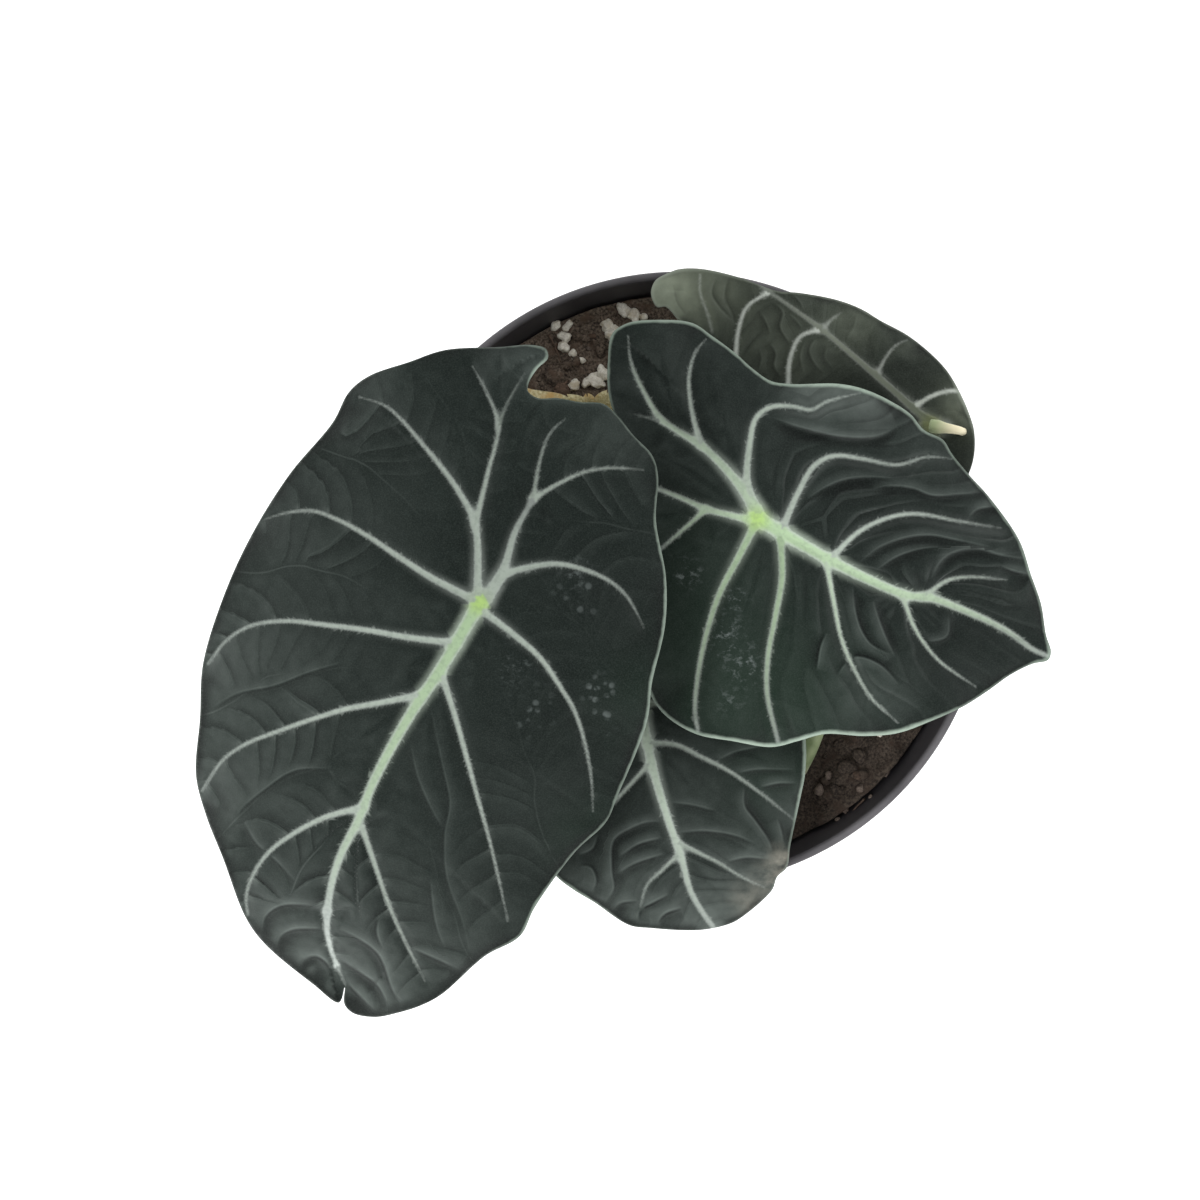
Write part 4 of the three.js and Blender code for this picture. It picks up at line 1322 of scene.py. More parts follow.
# The largest blade, held highest.
LEAF_A = Blade(
    name="velvet_blade_a", node="blade_a", attach=(-50, -5.75), tip=(-83.5, -106),
    pose=Pose(lift=64, tilt=-0.07, droop=0.003, roll=0, arch_right=0.0055, arch_left=0.0026, keel=0),
    quilt=1.3, wave=Wave(height=1.2, count=13, reach=9), vein_strength=0.76, seed=11,
    pleats=Pleats(
        rung_rise=0.4, rung_pitch=6.4, rung_least=0.12,
        rung_spots=[
            (-114, -32, 28, 0.95), (-96, -80, 24, 0.95), (-102, 14, 22, 0.5), (-60, -98, 22, 0.5),
            (-80, 38, 14, 0.35), (-36, -64, 20, 0.25), (-16, 20, 14, 0.3),
        ],
    ),
    # Tone patches; the sheen and shade patches among them are painted sheen and painted shade.
    spots={
        "painted_sheen": [
            (-114, -20, 20, 0.2), (-120, -52, 18, 0.24), (-108, -82, 16, 0.1), (-72, -106, 16, 0.3),
            (-50, -92, 14, 0.12), (-95, -98, 7, 0.75), (-32, 52, 6, 0.3), (-14, 38, 12, 0.14),
        ],
        "painted_shade": [(-18, -6, 24, 0.22), (-26, -44, 22, 0.3), (-50, 20, 24, 0.14)],
        "trim": [(-2, -20, 48, 0.6), (-36.5, 53.5, 4.5, 0.6), (-36, -84, 12, 0.4)],
        "green": [(-8, -30, 14, 0.45), (-22, -64, 10, 0.5)],
        "dusted": [(-20, -28, 3, 1.0), (-19.5, -36, 2.5, 1.0), (-25, -4, 5, 0.4), (-37, -33, 5, 0.35)],
        "scuffed": [(-40, -22, 5, 0.35), (-26, 1, 4, 0.4)],
    },
    swells=[
        (-35, 54, 9, 3.5), (-98, -97, 13, -5), (-84, -103, 14, -6), (-25, -30, 26, 2), (-95, 0, 30, -2.5),
    ],
    outline=[
        (-45, 58), (-37, 58.5), (-33.5, 57.5), (-33, 55.25), (-35.5, 52.75), (-37.75, 49.25), (-38, 47),
        (-35.5, 45.25), (-30.75, 45.25), (-25, 44.25), (-19, 43.75), (-15.25, 40.25), (-11.5, 35.75),
        (-7, 31), (-5.5, 26), (-6, 14.75), (-3.5, 0.25), (-3.75, -11.75), (-7, -26), (-8.25, -35.75),
        (-15.5, -54), (-18.5, -60.75), (-26.25, -68.25), (-36.25, -82), (-40, -89.25), (-48.75, -94.25),
        (-59.5, -103.75), (-64.5, -106.5), (-70.75, -108.5), (-76.25, -109.5), (-81.75, -108.5),
        (-83.9, -106.2), (-83.8, -101.9), (-85.2, -105.9), (-91.75, -101.25), (-103.75, -91.25),
        (-108.5, -84.75), (-114.25, -69.75), (-118.5, -59), (-121, -49), (-120, -34.75), (-119.25, -21.25),
        (-114.25, -4.75), (-107.5, 10.25), (-97.75, 26), (-86.75, 39.25), (-82.75, 46.75), (-77.75, 50.75),
        (-67.75, 54.25), (-58.75, 57.25),
    ],
    veins=[
        Vein([(-50, -5.75), (-59.5, -22), (-67, -33.25), (-72, -41.75), (-77, -51.5), (-80.25, -60),
              (-84.5, -68.25), (-86.75, -74.75), (-88.3, -83)], 4.1, 1.7, 0.98, 1.0, 0.03),
        Vein([(-50.5, -4), (-51.25, 13.5), (-55.25, 21.75), (-64, 33.25), (-73.25, 43), (-80.25, 45.5)],
              2.4, 0.5),
        Vein([(-51.25, 13.5), (-48, 26.75), (-45.5, 38.25), (-48.75, 47.5), (-52, 53.25)], 1.5, 0.5, 0.72),
        Vein([(-45.5, 38.25), (-43, 44.25), (-38.75, 51.5)], 0.7, 0.3, 0.35),
        Vein([(-48, -4.75), (-43.75, 3.5), (-41.25, 11.75), (-36.75, 20)], 2.8, 1.1),
        Vein([(-36.75, 20), (-34.75, 30.75), (-32.25, 36.75), (-28.75, 40)], 1.0, 0.4, 0.6),
        Vein([(-36.75, 20), (-30.5, 23.75), (-23.75, 26.75), (-17.25, 27.75), (-9, 27.25)], 1.2, 0.4, 0.7),
        Vein([(-48, -3.75), (-43.75, 1), (-37.25, 3), (-30.5, 3.75), (-23.75, 2.25), (-17.25, -0.75),
              (-13, -4.75), (-9, -12.25)], 2.2, 0.4, 0.78),
        Vein([(-49, -8.25), (-40.5, -14.75), (-34.75, -20), (-29.75, -27.25), (-26.5, -32.75),
              (-24.25, -39.25), (-22.25, -49.25), (-21.75, -58.25)], 1.9, 0.4, 0.86),
        Vein([(-51, -5.5), (-62, 0.25), (-71, 6), (-78.5, 11), (-86, 15), (-91.75, 17), (-98.5, 16.5),
              (-104.25, 14.75)], 2.2, 0.5),
        Vein([(-56, -16), (-67, -14.75), (-78.5, -12.75), (-88.5, -11.5), (-98.5, -10.5), (-107.5, -11.75),
              (-113.5, -15.5), (-118, -21.25)], 1.9, 0.6, 0.88),
        Vein([(-65, -29), (-75.25, -31), (-83.5, -32.5), (-91.75, -35), (-100.25, -38), (-108.5, -41.25),
              (-114.25, -45.25), (-119.5, -53)], 1.8, 0.6, 0.9),
        Vein([(-79, -57), (-88.5, -59.5), (-96, -63.25), (-102.75, -68.25), (-106.75, -74),
              (-108.5, -79.75), (-108, -84)], 1.7, 0.6, 0.9),
        Vein([(-59.5, -24), (-56.25, -34.25), (-53, -45.75), (-50.5, -55), (-47.5, -65.75), (-45, -76.5),
              (-43, -85.5)], 1.7, 0.4, 0.88),
        Vein([(-79.5, -62), (-76, -72.25), (-72.75, -81.5), (-68.75, -90.5), (-63.75, -100.5)], 1.5, 0.5,
              0.82),
        Vein([(-88.2, -83), (-88.2, -88.3), (-87, -93.4), (-85.8, -96.7)], 1.8, 0.8, 0.98, 0.0, -0.9),
        Vein([(-85.8, -96.7), (-84.4, -99.6), (-83.6, -101.6)], 0.7, 0.3, 0.6, 0.0, 0.0),
    ],
    folds=[
        Fold([(-85.5, -87.5), (-81.25, -89.5), (-75.5, -93.75), (-72, -102.5), (-69.75, -106.75)], 1.3, 4),
        Fold([(-86, -94.5), (-81.25, -97.5), (-75.5, -101.75), (-73, -107)], 1.4, 3.5),
        Fold([(-84.4, -99.6), (-80.8, -103.5), (-76, -108.4)], 1.1, 2.5),
        Fold([(-75.5, -84.5), (-75.9, -88.3), (-74.4, -92.7)], 0.9, 3),
        Fold([(-68.5, -91.75), (-60.5, -95.25), (-54.75, -98)], 0.9, 3),
        Fold([(-104, -89.5), (-103.5, -84.5), (-99.75, -81.75), (-89.75, -81.75)], 1.2, 4),
        Fold([(-100.5, -93), (-99.75, -89.5), (-97, -87.75), (-88.5, -87.5)], 1.2, 3.5),
        Fold([(-95.5, -98), (-93.25, -95), (-91, -94.25), (-88.5, -95.75), (-85.5, -100)], 1.3, 4),
        Fold([(-62.75, -31.75), (-59.75, -46), (-57.75, -56), (-59, -63.75), (-58.5, -74.5),
              (-54.75, -85.25), (-52.75, -93.75)], 0.5, 3),
        Fold([(-67.75, -41), (-65.5, -50.25), (-61.25, -59.5), (-59, -63)], 0.45, 3),
        Fold([(-62.75, -74.5), (-61.25, -86), (-59, -92.5)], 0.6, 3),
        Fold([(-117, -32.5), (-110.5, -28.75), (-101.25, -26.75), (-92.75, -23.5), (-84, -21)], 0.7, 3),
        Fold([(-110.5, -60.25), (-109.75, -58), (-103.5, -52.5), (-96.25, -48), (-87, -47.5)], 0.7, 3),
        Fold([(-109.5, -60), (-106, -66), (-100.5, -71), (-96, -76)], 0.7, 3),
    ],
)

# The second blade, pleated and folded on its far side.
LEAF_B = Blade(
    name="velvet_blade_b", node="blade_b", attach=(19.25, 15.25), tip=(92.25, -19.5),
    pose=Pose(lift=42, tilt=-0.04, droop=0.0026, roll=0.02, arch_right=0.0034, arch_left=0.0034, keel=0),
    quilt=1.7, wave=Wave(height=1.3, count=12, reach=8), vein_strength=1.05, cell=0.55, trim_least=0.2,
    seed=29,
    pleats=Pleats(
        rung_rise=0.15, rung_pitch=6, rung_least=0.15, fold_rise=0.8, fold_count=2.2,
        fold_spots=[(66, 12, 30, 0.9), (40, 34, 20, 0.5), (40, -20, 22, 0.35)],
        calm_spots=[(4, -12, 26, 0.7), (4, 48, 18, 0.6), (72, -16, 12, 0.9)],
    ),
    # Tone patches; the sheen and shade patches among them are painted sheen and painted shade.
    spots={
        "painted_sheen": [
            (34, 48.5, 8, 0.85), (47, 46, 7.5, 0.85), (10, 10, 60, 0.06), (62, 34, 10, 0.2),
            (80, 16, 9, 0.15), (88, 0, 8, 0.1), (42, -30, 9, 0.2), (56, -26, 6, 0.15),
        ],
        "painted_shade": [(56, 10, 24, 0.3), (70, -16, 12, 0.3), (42, 24, 8, 0.3)],
        "trim": [
            (25, -45, 38, 0.8), (-5, 60, 22, 0.5), (56, -38, 14, 0.4), (44, 48, 26, 0.75),
            (86, 5, 18, 0.35), (92, -19, 5, 0.5),
        ],
        "green": [(8, -25, 26, 0.75), (35, -34, 18, 0.5), (0, 5, 16, 0.4)],
        "scuffed": [
            (1.5, 1.5, 3.2, 0.9), (13.5, -5, 3, 0.7), (11.5, -14.5, 4, 0.9), (16.5, -22, 4.2, 0.9),
            (12, -31, 3, 0.5),
        ],
    },
    swells=[(38, 46, 12, 3), (30, 35, 9, -2.5), (60, 37, 8, 2.5), (-14, 50, 12, 2)],
    outline=[
        (-17, 61.25), (-13, 64), (-6.25, 64.75), (3, 64), (8, 60.75), (13.75, 56.5), (18.25, 52.5),
        (22.75, 49.5), (27.5, 48.75), (40, 48.75), (47.25, 47), (57.25, 41.5), (61, 37.25), (65.75, 34.75),
        (68, 31.25), (72.5, 25.75), (77.25, 20.5), (84.75, 9.75), (87.75, 1), (90.25, -6.25), (91.5, -14),
        (92.75, -18.25), (92, -20.25), (88, -21.25), (82.5, -24), (77.25, -27.75), (71, -31.75),
        (62.75, -35.5), (54.5, -38.5), (46.25, -39.25), (36.25, -38.75), (29.5, -40.5), (23, -42),
        (13, -40.5), (4, -38.75), (-3.5, -34.25), (-7.25, -29.25), (-10, -20.25), (-11, -5.25),
        (-11.5, 9.75), (-12, 24), (-10, 31), (-13, 36.75), (-16.5, 41.5), (-18, 47.25), (-18, 54.75),
    ],
    veins=[
        Vein([(19.25, 15.25), (26, 11.25), (36.5, 5.25), (45.75, 0.5), (56.5, -4), (62.75, -4.75),
              (70.25, -7.5), (78, -11), (83.25, -14), (88, -17.5), (92, -19.3)], 4.2, 1.1, 1.0, 0.95),
        Vein([(19.25, 17.25), (13, 25.75), (6, 32.75), (-1, 37.25), (-4.75, 40), (-9.25, 47.25),
              (-12.25, 54.25), (-13, 61)], 3.2, 0.5, 0.85, 0.6),
        Vein([(5.25, 33.5), (3, 42), (2.25, 50.25), (3.75, 56.5), (6.5, 60)], 1.5, 0.5, 0.75, 0.2),
        Vein([(-4.75, 39.5), (-11.5, 41.25)], 0.6, 0.3, 0.35, 0.1),
        Vein([(17.5, 14.75), (12.25, 16), (6.5, 17.5), (1.5, 19.75), (-9, 24)], 2.2, 0.9, 0.95, 0.7),
        Vein([(6.5, 17.5), (3, 14.25), (-4.75, 7.5)], 1.3, 0.8, 0.85, 0.7),
        Vein([(18, 18.5), (16.75, 25), (17.5, 34.25), (19, 40.25), (22.75, 43), (29, 43), (32.75, 42.25),
              (36.5, 44.25), (45, 46.5)], 2.2, 0.5, 0.78, 0.3),
        Vein([(25.25, 12), (29.75, 22), (33.5, 28.25), (38.25, 30.75), (45.75, 30), (54.25, 28.5),
              (61.75, 30.5), (68, 30)], 1.9, 0.5, 0.75, 0.2),
        Vein([(37.5, 5), (45, 12), (52.75, 15.5), (59.5, 16.25), (68, 14.75), (80.25, 12.75)], 1.5, 0.5,
              0.85, 0.2),
        Vein([(61, -4.5), (66.5, -0.5), (71.75, 0.5), (81.75, -0.25)], 1.2, 0.4, 0.75, 0.3),
        Vein([(19, 14), (14.5, 5.25), (9.75, -4), (6.75, -13.25), (4.75, -22.5), (3.75, -33), (4.5, -38)],
              2.3, 0.9, 0.78, 0.9),
        Vein([(25, 11.5), (25.5, 0.5), (24, -8.5), (22, -19.25), (21.75, -28.5), (24.5, -40.75)], 2.1, 1.0,
              0.68, 0.9),
        Vein([(36.5, 4.5), (38.5, -6.25), (40.5, -15.5), (44.25, -24), (48, -30), (54.5, -36)], 1.5, 0.5,
              0.88, 0.5),
        Vein([(55.5, -4), (58.75, -12.5), (64.25, -20), (68.75, -23.5), (74, -27)], 1.3, 0.4, 0.8, 0.4),
    ],
    folds=[
        Fold([(23, 40), (30, 37.75), (40, 35.5), (49, 35.5), (54.5, 37.75)], 3.6, 6, 2.4),
        Fold([(32, 19.75), (36.5, 22.75), (41.5, 24.75), (48, 25.25), (53.75, 24.75)], 2.4, 4, 2.0),
        Fold([(47.5, 21.75), (52, 23), (58, 22.5), (63, 20.75), (70, 21), (75.5, 21.5)], 1.8, 3, 1.6),
        Fold([(72.5, 15.25), (74, 17), (78, 17.75), (80.5, 17.25)], 1.4, 3),
        Fold([(45, 3.75), (50, 7.75), (57, 10.25), (62.5, 10.75), (68, 9.75), (77.5, 7.75)], 2.2, 3.5, 1.8),
        Fold([(49, 1.75), (54, 5.25), (60, 7.25), (65, 7.75)], 1.2, 2.5),
        Fold([(63, -0.25), (65, 3.75), (68, 6.25), (74.5, 7.25), (80, 5.75), (86.5, 4.75)], 2.4, 4, 1.8),
        Fold([(80, 3), (83.5, 1.75), (87.5, 0.75)], 1.2, 2.5),
        Fold([(53, -18.75), (48, -16.25), (45.5, -12.75), (44, -7.75), (43.5, -1.75)], 1.4, 4),
        Fold([(54, -19.25), (52, -15.25), (50, -10.25), (48.5, -5.25)], 1.6, 3.5),
        Fold([(36.5, -13.25), (35, -16.75), (34, -22.75)], 1.1, 4),
        Fold([(55, -26.25), (50, -21.25), (44, -19.25), (41, -21.25), (39, -24.25)], 1.6, 4),
        Fold([(58.75, -15.25), (63, -15.75), (67, -14.25), (67.5, -8.25)], 0.9, 4, 2.0),
    ],
)

# The far right blade, turned so that its underside and raised midrib face up.
LEAF_C = Blade(
    name="turned_blade_c", node="blade_c", attach=(63, 39), tip=(20.5, 73),
    pose=Pose(lift=23, tilt=-0.1, droop=0, roll=0, arch_right=0, arch_left=0, keel=0.34),
    quilt=1.2, wave=Wave(height=0.9, count=10, reach=3), underside_up=True, cell=0.5, seed=41,
    pleats=Pleats(
        rung_rise=0.1, rung_pitch=5, rung_least=0.0, fold_rise=0.35, band_pitch=3.4, band_lean=0.7,
        band_bend=-0.03,
        fold_spots=[(26, 58, 13, 0.5), (12, 66, 7, 0.4), (46, 60, 14, 0.1)],
        calm_spots=[(-4, 71, 8, 1.0)],
    ),
    # Tone patches; the sheen and shade patches among them are painted sheen and painted shade.
    spots={
        "painted_sheen": [
            (-3, 72, 11, 1.0), (12, 72, 6, 0.25), (30, 58, 14, 0.12), (23, 61, 9, 0.12), (44, 64, 7, 0.2),
            (70, 43, 6, 0.45),
        ],
        "painted_shade": [(60, 48, 20, 0.2)],
        "trim": [(0, 72, 12, 0.7), (72, 44, 8, 0.7), (40, 70, 30, 0.25)],
    },
    swells=[(-9, 71, 11, 8), (69, 28, 12, -2)],
    outline=[
        (-0.25, 64.5), (-3.5, 68), (-5.75, 68), (-7.25, 71.25), (-6.25, 74.5), (-3, 76.5), (0, 77.5),
        (5.5, 77.5), (15.25, 75.25), (20.5, 73.25), (24.25, 72), (30, 71.5), (39.25, 69.75), (45.25, 67.5),
        (50.25, 64.5), (56.75, 61), (62.5, 56.5), (66.75, 52), (69.75, 47), (72, 42), (73.5, 37),
        (73.5, 31), (72, 26), (67.5, 19.75), (58.75, 16.75), (48.75, 18.5), (38.75, 23.5), (28.75, 31),
        (18.75, 39.75), (10, 51), (5, 59.75),
    ],
    veins=[
        Vein([(63, 39), (59.5, 41.5), (54.5, 46), (45.25, 54), (35.5, 62.25), (27.25, 68.25), (20.5, 73)],
              2.3, 0.7, 0.48, 0.8),
        Vein([(63.5, 37.5), (62.5, 35), (60, 31)], 3.4, 3.0, 0.4, 0.9, 0.0),
        Vein([(62, 38), (66.5, 37.9)], 4.2, 2.4, 0.6, 1.0, 0.0),
        Vein([(34.75, 62.25), (30, 60.5), (27.5, 55), (27, 49.5), (27, 40)], 0.8, 1.3, 1.1, 0.0, 0.0),
        Vein([(22, 71.5), (16.75, 68), (14.5, 61.75), (13.75, 52)], 0.6, 1.2, 1.0, 0.0, 0.0),
        Vein([(5, 76), (5, 71.5), (6.75, 66.5), (8, 61.75)], 0.4, 0.6, 0.55, 0.0),
        Vein([(35.75, 62.5), (37.75, 64.75), (40.25, 66.5)], 0.9, 0.3, 0.45, 0.0),
        Vein([(49.5, 51.75), (51.5, 55.5), (53.75, 58.25), (56.75, 59.75)], 0.9, 0.3, 0.5, 0.0),
        Vein([(58.75, 43.25), (62.5, 45.5), (66, 46.75), (69.75, 47), (72, 46)], 1.0, 0.9, 1.0, 0.1, 0.0),
        Vein([(62, 39), (56, 35), (40, 33)], 1.2, 0.5, 0.5, 0.1),
        Vein([(63, 39), (64, 34), (60, 28), (58, 20)], 1.2, 0.5, 0.5, 0.1),
    ],
    folds=[
        Fold([(13.6, 64.4), (10.3, 67.6), (8, 71.3), (8.9, 75)], 0.6, 2.25),
        Fold([(14.5, 61.1), (13.1, 66.2), (11.25, 70.4), (12.2, 76)], 0.5, 2.25),
        Fold([(1.9, 65.3), (-0.8, 69), (-1.8, 73.7)], 0.35, 2.25),
        Fold([(22, 59.3), (23.8, 56.5), (23.4, 53.2), (25.2, 50.2)], 0.6, 2.25),
        Fold([(22.4, 69.9), (25.5, 66.7), (24.9, 63), (27.1, 59.2), (28.5, 57.4)], 0.6, 2.25),
        Fold([(19.6, 67.2), (21.5, 63.9), (22.4, 61.1)], 0.5, 2.25),
        Fold([(27.1, 66.2), (29.4, 63.9), (30.8, 61.6)], 0.4, 1.88),
        Fold([(34.05, 60.6), (32.2, 57.4), (33.6, 53.7), (35.9, 51.3)], 0.55, 2.25),
        Fold([(31.3, 60.2), (29.9, 56), (30.8, 51.3)], 0.45, 1.88),
        Fold([(19.5, 58), (20.2, 55), (19.3, 52)], 0.45, 1.88),
        Fold([(27.7, 71.3), (29.9, 69), (30.8, 66.2)], 0.4, 1.88),
        Fold([(44, 66), (43, 62.5), (41.4, 60)], 0.3, 1.88),
        Fold([(36.8, 58.6), (36, 55.4), (38, 52.5)], 0.35, 1.88),
    ],
)

# The lowest blade, with a dry patch on its margin.
LEAF_D = Blade(
    name="velvet_blade_d", node="blade_d", attach=(-10, -30.25), tip=(8.25, -87.25),
    pose=Pose(lift=20, tilt=-0.02, droop=0.005, roll=0, arch_right=0.0048, arch_left=0.0048, keel=0),
    quilt=1.3, wave=Wave(height=0.9, count=11, reach=7), cell=0.5, seed=53,
    pleats=Pleats(
        rung_rise=0.1, rung_pitch=5.5, rung_least=0.1, fold_rise=0.4, band_pitch=4.4,
        fold_spots=[(-6, -76, 15, 0.4), (6, -84, 12, 0.5), (14, -66, 14, 0.25)],
    ),
    # Tone patches; the sheen and shade patches among them are painted sheen and painted shade.
    spots={
        "painted_sheen": [
            (-10, -86, 12, 0.55), (5, -89, 6, 1.0), (17, -81, 11, 0.7), (29, -60, 8, 0.35),
            (-29, -76, 6, 0.4), (6, -54, 22, 0.16), (-14, -70, 12, 0.14),
        ],
        "painted_shade": [(-22, -60, 9, 0.3), (-14, -68, 7, 0.35)],
        "trim": [(32, -45, 22, 0.7), (-28, -78, 12, 0.4)],
        "green": [(26, -48, 14, 0.6)],
        "dry": [(26, -70, 3.2, 0.75), (23, -75, 3.6, 0.55), (17, -80, 4, 0.35)],
    },
    swells=[(24, -70, 9, 1.5)],
    outline=[
        (-30.75, -74.5), (-26.5, -77.75), (-21.5, -80.75), (-12.75, -86.5), (-7.5, -87.25), (5, -87.75),
        (12.25, -86.25), (15.5, -84.5), (23, -77.75), (24.25, -74.5), (26.75, -72), (27.5, -67),
        (30.25, -54), (31.25, -48.75), (31.5, -41.5), (30, -31.5), (23.75, -22.25), (15, -16.5),
        (5, -13.25), (-3, -14), (-8, -19), (-12.5, -14), (-20, -13.25), (-27.5, -19), (-33, -30.25),
        (-35.5, -45.25), (-36.25, -60.25), (-34.25, -70.25),
    ],
    veins=[
        Vein([(-10, -30.25), (-9, -36.75), (-7.25, -45.5), (-4.75, -54.5), (-2, -63), (0.25, -69.25),
              (2.5, -77.75), (5.25, -82.75), (8.25, -87)], 3.2, 1.2, 0.95, 0.4),
        Vein([(-8.5, -41), (-1, -41.5), (5.25, -44.5), (11.75, -47.75), (20.75, -54), (28.5, -60.25)], 1.5,
              0.5, 0.6),
        Vein([(-0.5, -66), (5.25, -68.75), (9.75, -71), (15, -74.25), (21.25, -77.25)], 1.3, 0.4, 0.6),
        Vein([(-7.5, -46), (-12.75, -51.75), (-16.25, -55.5), (-28, -66)], 1.2, 0.5, 0.7),
        Vein([(-0.5, -69), (-5, -73.25), (-8.25, -76.5), (-10, -82)], 1.0, 0.4, 0.6),
        Vein([(-10, -29), (2, -24), (18, -23)], 1.6, 0.5, 0.6),
        Vein([(-10, -31), (4, -32), (26, -40)], 1.6, 0.5, 0.6),
        Vein([(-11, -29), (-20, -22), (-24, -20)], 1.6, 0.5, 0.6),
        Vein([(-10.5, -31.5), (-22, -36), (-32, -44)], 1.6, 0.5, 0.6),
    ],
    folds=[
        Fold([(-18.6, -81.1), (-16.4, -77.3), (-16.9, -72.9), (-16.4, -65.3), (-12.6, -62.6), (-8.2, -60.9),
              (-4.4, -60.9)], 1.5, 3),
        Fold([(-15.3, -69.7), (-10.4, -66.4), (-4.4, -64.8)], 1.1, 3),
        Fold([(-15.9, -74), (-11.5, -71.3), (-3.9, -68.8)], 1.0, 3),
        Fold([(-21.8, -78.4), (-20.8, -75.1), (-22.4, -71.8), (-25.1, -71.6)], 0.8, 3),
        Fold([(-25.1, -69.1), (-21.8, -67.5), (-20.2, -63.7)], 1.0, 3),
        Fold([(-2.3, -56), (2.7, -56.6), (9.2, -58.2)], 0.7, 3),
        Fold([(-1.2, -63.7), (5.9, -63.1), (13.6, -64.2), (19, -66.4)], 0.9, 3),
        Fold([(11.4, -70.8), (16.8, -69.7), (22.3, -70.2)], 0.9, 3),
        Fold([(23.4, -68.6), (22.3, -65.3), (19, -60.4), (16.3, -56.6), (16.3, -51.7)], 1.2, 3),
        Fold([(26, -66), (25.5, -63.1), (24.5, -59.9)], 0.8, 2.5),
        Fold([(20.1, -52.2), (24.5, -51.2), (28.8, -51.2)], 1.0, 2.5),
        Fold([(12.5, -49.5), (17.9, -47.9), (28.8, -47.9)], 0.7, 2.5),
        Fold([(9.2, -45.7), (13.6, -43.5), (21.2, -41.9)], 0.8, 3),
        Fold([(-5.5, -86), (-3.9, -83.8), (0.5, -82.2)], 1.1, 2.5),
        Fold([(-10.4, -85.4), (-9.9, -82.7), (-7.1, -81.1), (-2.8, -78.9)], 1.1, 2.5),
        Fold([(-16.9, -83.3), (-14.8, -81.1), (-10.4, -80.5)], 0.9, 2.5),
    ],
)


# ---- stalks and crown ----


@dataclass(frozen=True)
class Stalk:
    """A leaf stalk: its route on the plan and above the rim, and its radius at shares of its length."""

    name: str
    node: str
    route: Sequence[tuple[float, float, float]]
    girth: Sequence[Point]
    cream_from: float = 1.2
    sides: int = 28
    step: float = 0.8
    flutes: int = 5
    flute_depth: float = 0.03
    ripple_depth: float = 0.012
    ripple_turns: float = 60.0

    def build(self, finish: bpy.types.Material) -> bpy.types.Object:
        """Builds the stalk as a faintly fluted tapering tube.

        Args:
            finish: The stalk's material.

        Returns:
            The finished piece.
        """
        centres = smooth_line(PLAN.lift_off(*np.array(self.route, float).T), self.step * MM)
        share = np.linspace(0.0, 1.0, len(centres))
        shares, radii = zip(*self.girth)
        flutes = 1 + self.flute_depth * np.cos(self.flutes * angles(self.sides))
        rippled = flutes + self.ripple_depth * np.sin(share * self.ripple_turns)[:, None]
        piece = new_mesh(self.name, *tube(centres, np.interp(share, shares, radii) * MM, self.sides, rippled))
        bent = smooth_step(self.cream_from, self.cream_from + 0.02, share) * smooth_step(0.995, 0.95, share)
        cream = np.clip(smooth_step(0.12, 0.02, share) + bent, 0.0, 1.0)
        add_field(piece, "cream", np.repeat(cream, self.sides))
        return settle(piece, [finish], Slot.STALK, self.node)


STALKS = [
    Stalk(
        "stalk_a", "petiole_a",
        [(-26, 35.5, -17), (-29, 31.5, -6), (-35, 22, 14), (-43, 9, 38), (-48.5, -3, 54), (-50, -5.75, 57.6),
         (-50, -5.75, 62.6)],
        [(0, 3.3), (0.3, 2.6), (1, 2.0)],
    ),
    Stalk(
        "stalk_b", "petiole_b",
        [(-16.2, 36.5, -17), (-12.5, 35, -9), (-3, 30, 5), (9, 22.5, 20), (17.5, 16.5, 33),
         (19.25, 15.25, 35.6), (19.25, 15.25, 40.6)],
        [(0, 3.1), (0.3, 2.45), (1, 1.9)],
    ),
    Stalk(
        "stalk_c", "petiole_c",
        [(27.6, -50.5, -19), (29.8, -46.5, -9), (33.2, -39.5, -1), (39, -23, 5), (50, 4, 8.5), (61, 23, 11.5),
         (68, 33.5, 15), (70.6, 36.4, 19.5), (70.5, 36.9, 24.4), (69.2, 37.3, 27.2), (66.2, 37.8, 27.6),
         (62.6, 38.4, 26.6)],
        [(0, 2.7), (0.25, 2.2), (0.85, 1.3), (0.925, 0.95), (0.95, 1.05), (0.97, 1.25), (0.985, 1.7),
         (1, 1.6)],
        cream_from=0.9,
    ),
    Stalk(
        "stalk_d", "petiole_d",
        [(-20.8, 29.6, -16), (-19.6, 24, -6), (-17.5, 8, -1), (-14, -13, 2.5), (-11, -26, 11),
         (-10, -30.25, 13.6), (-10, -30.25, 18.6)],
        [(0, 2.9), (0.3, 2.2), (1, 1.6)],
    ),
]


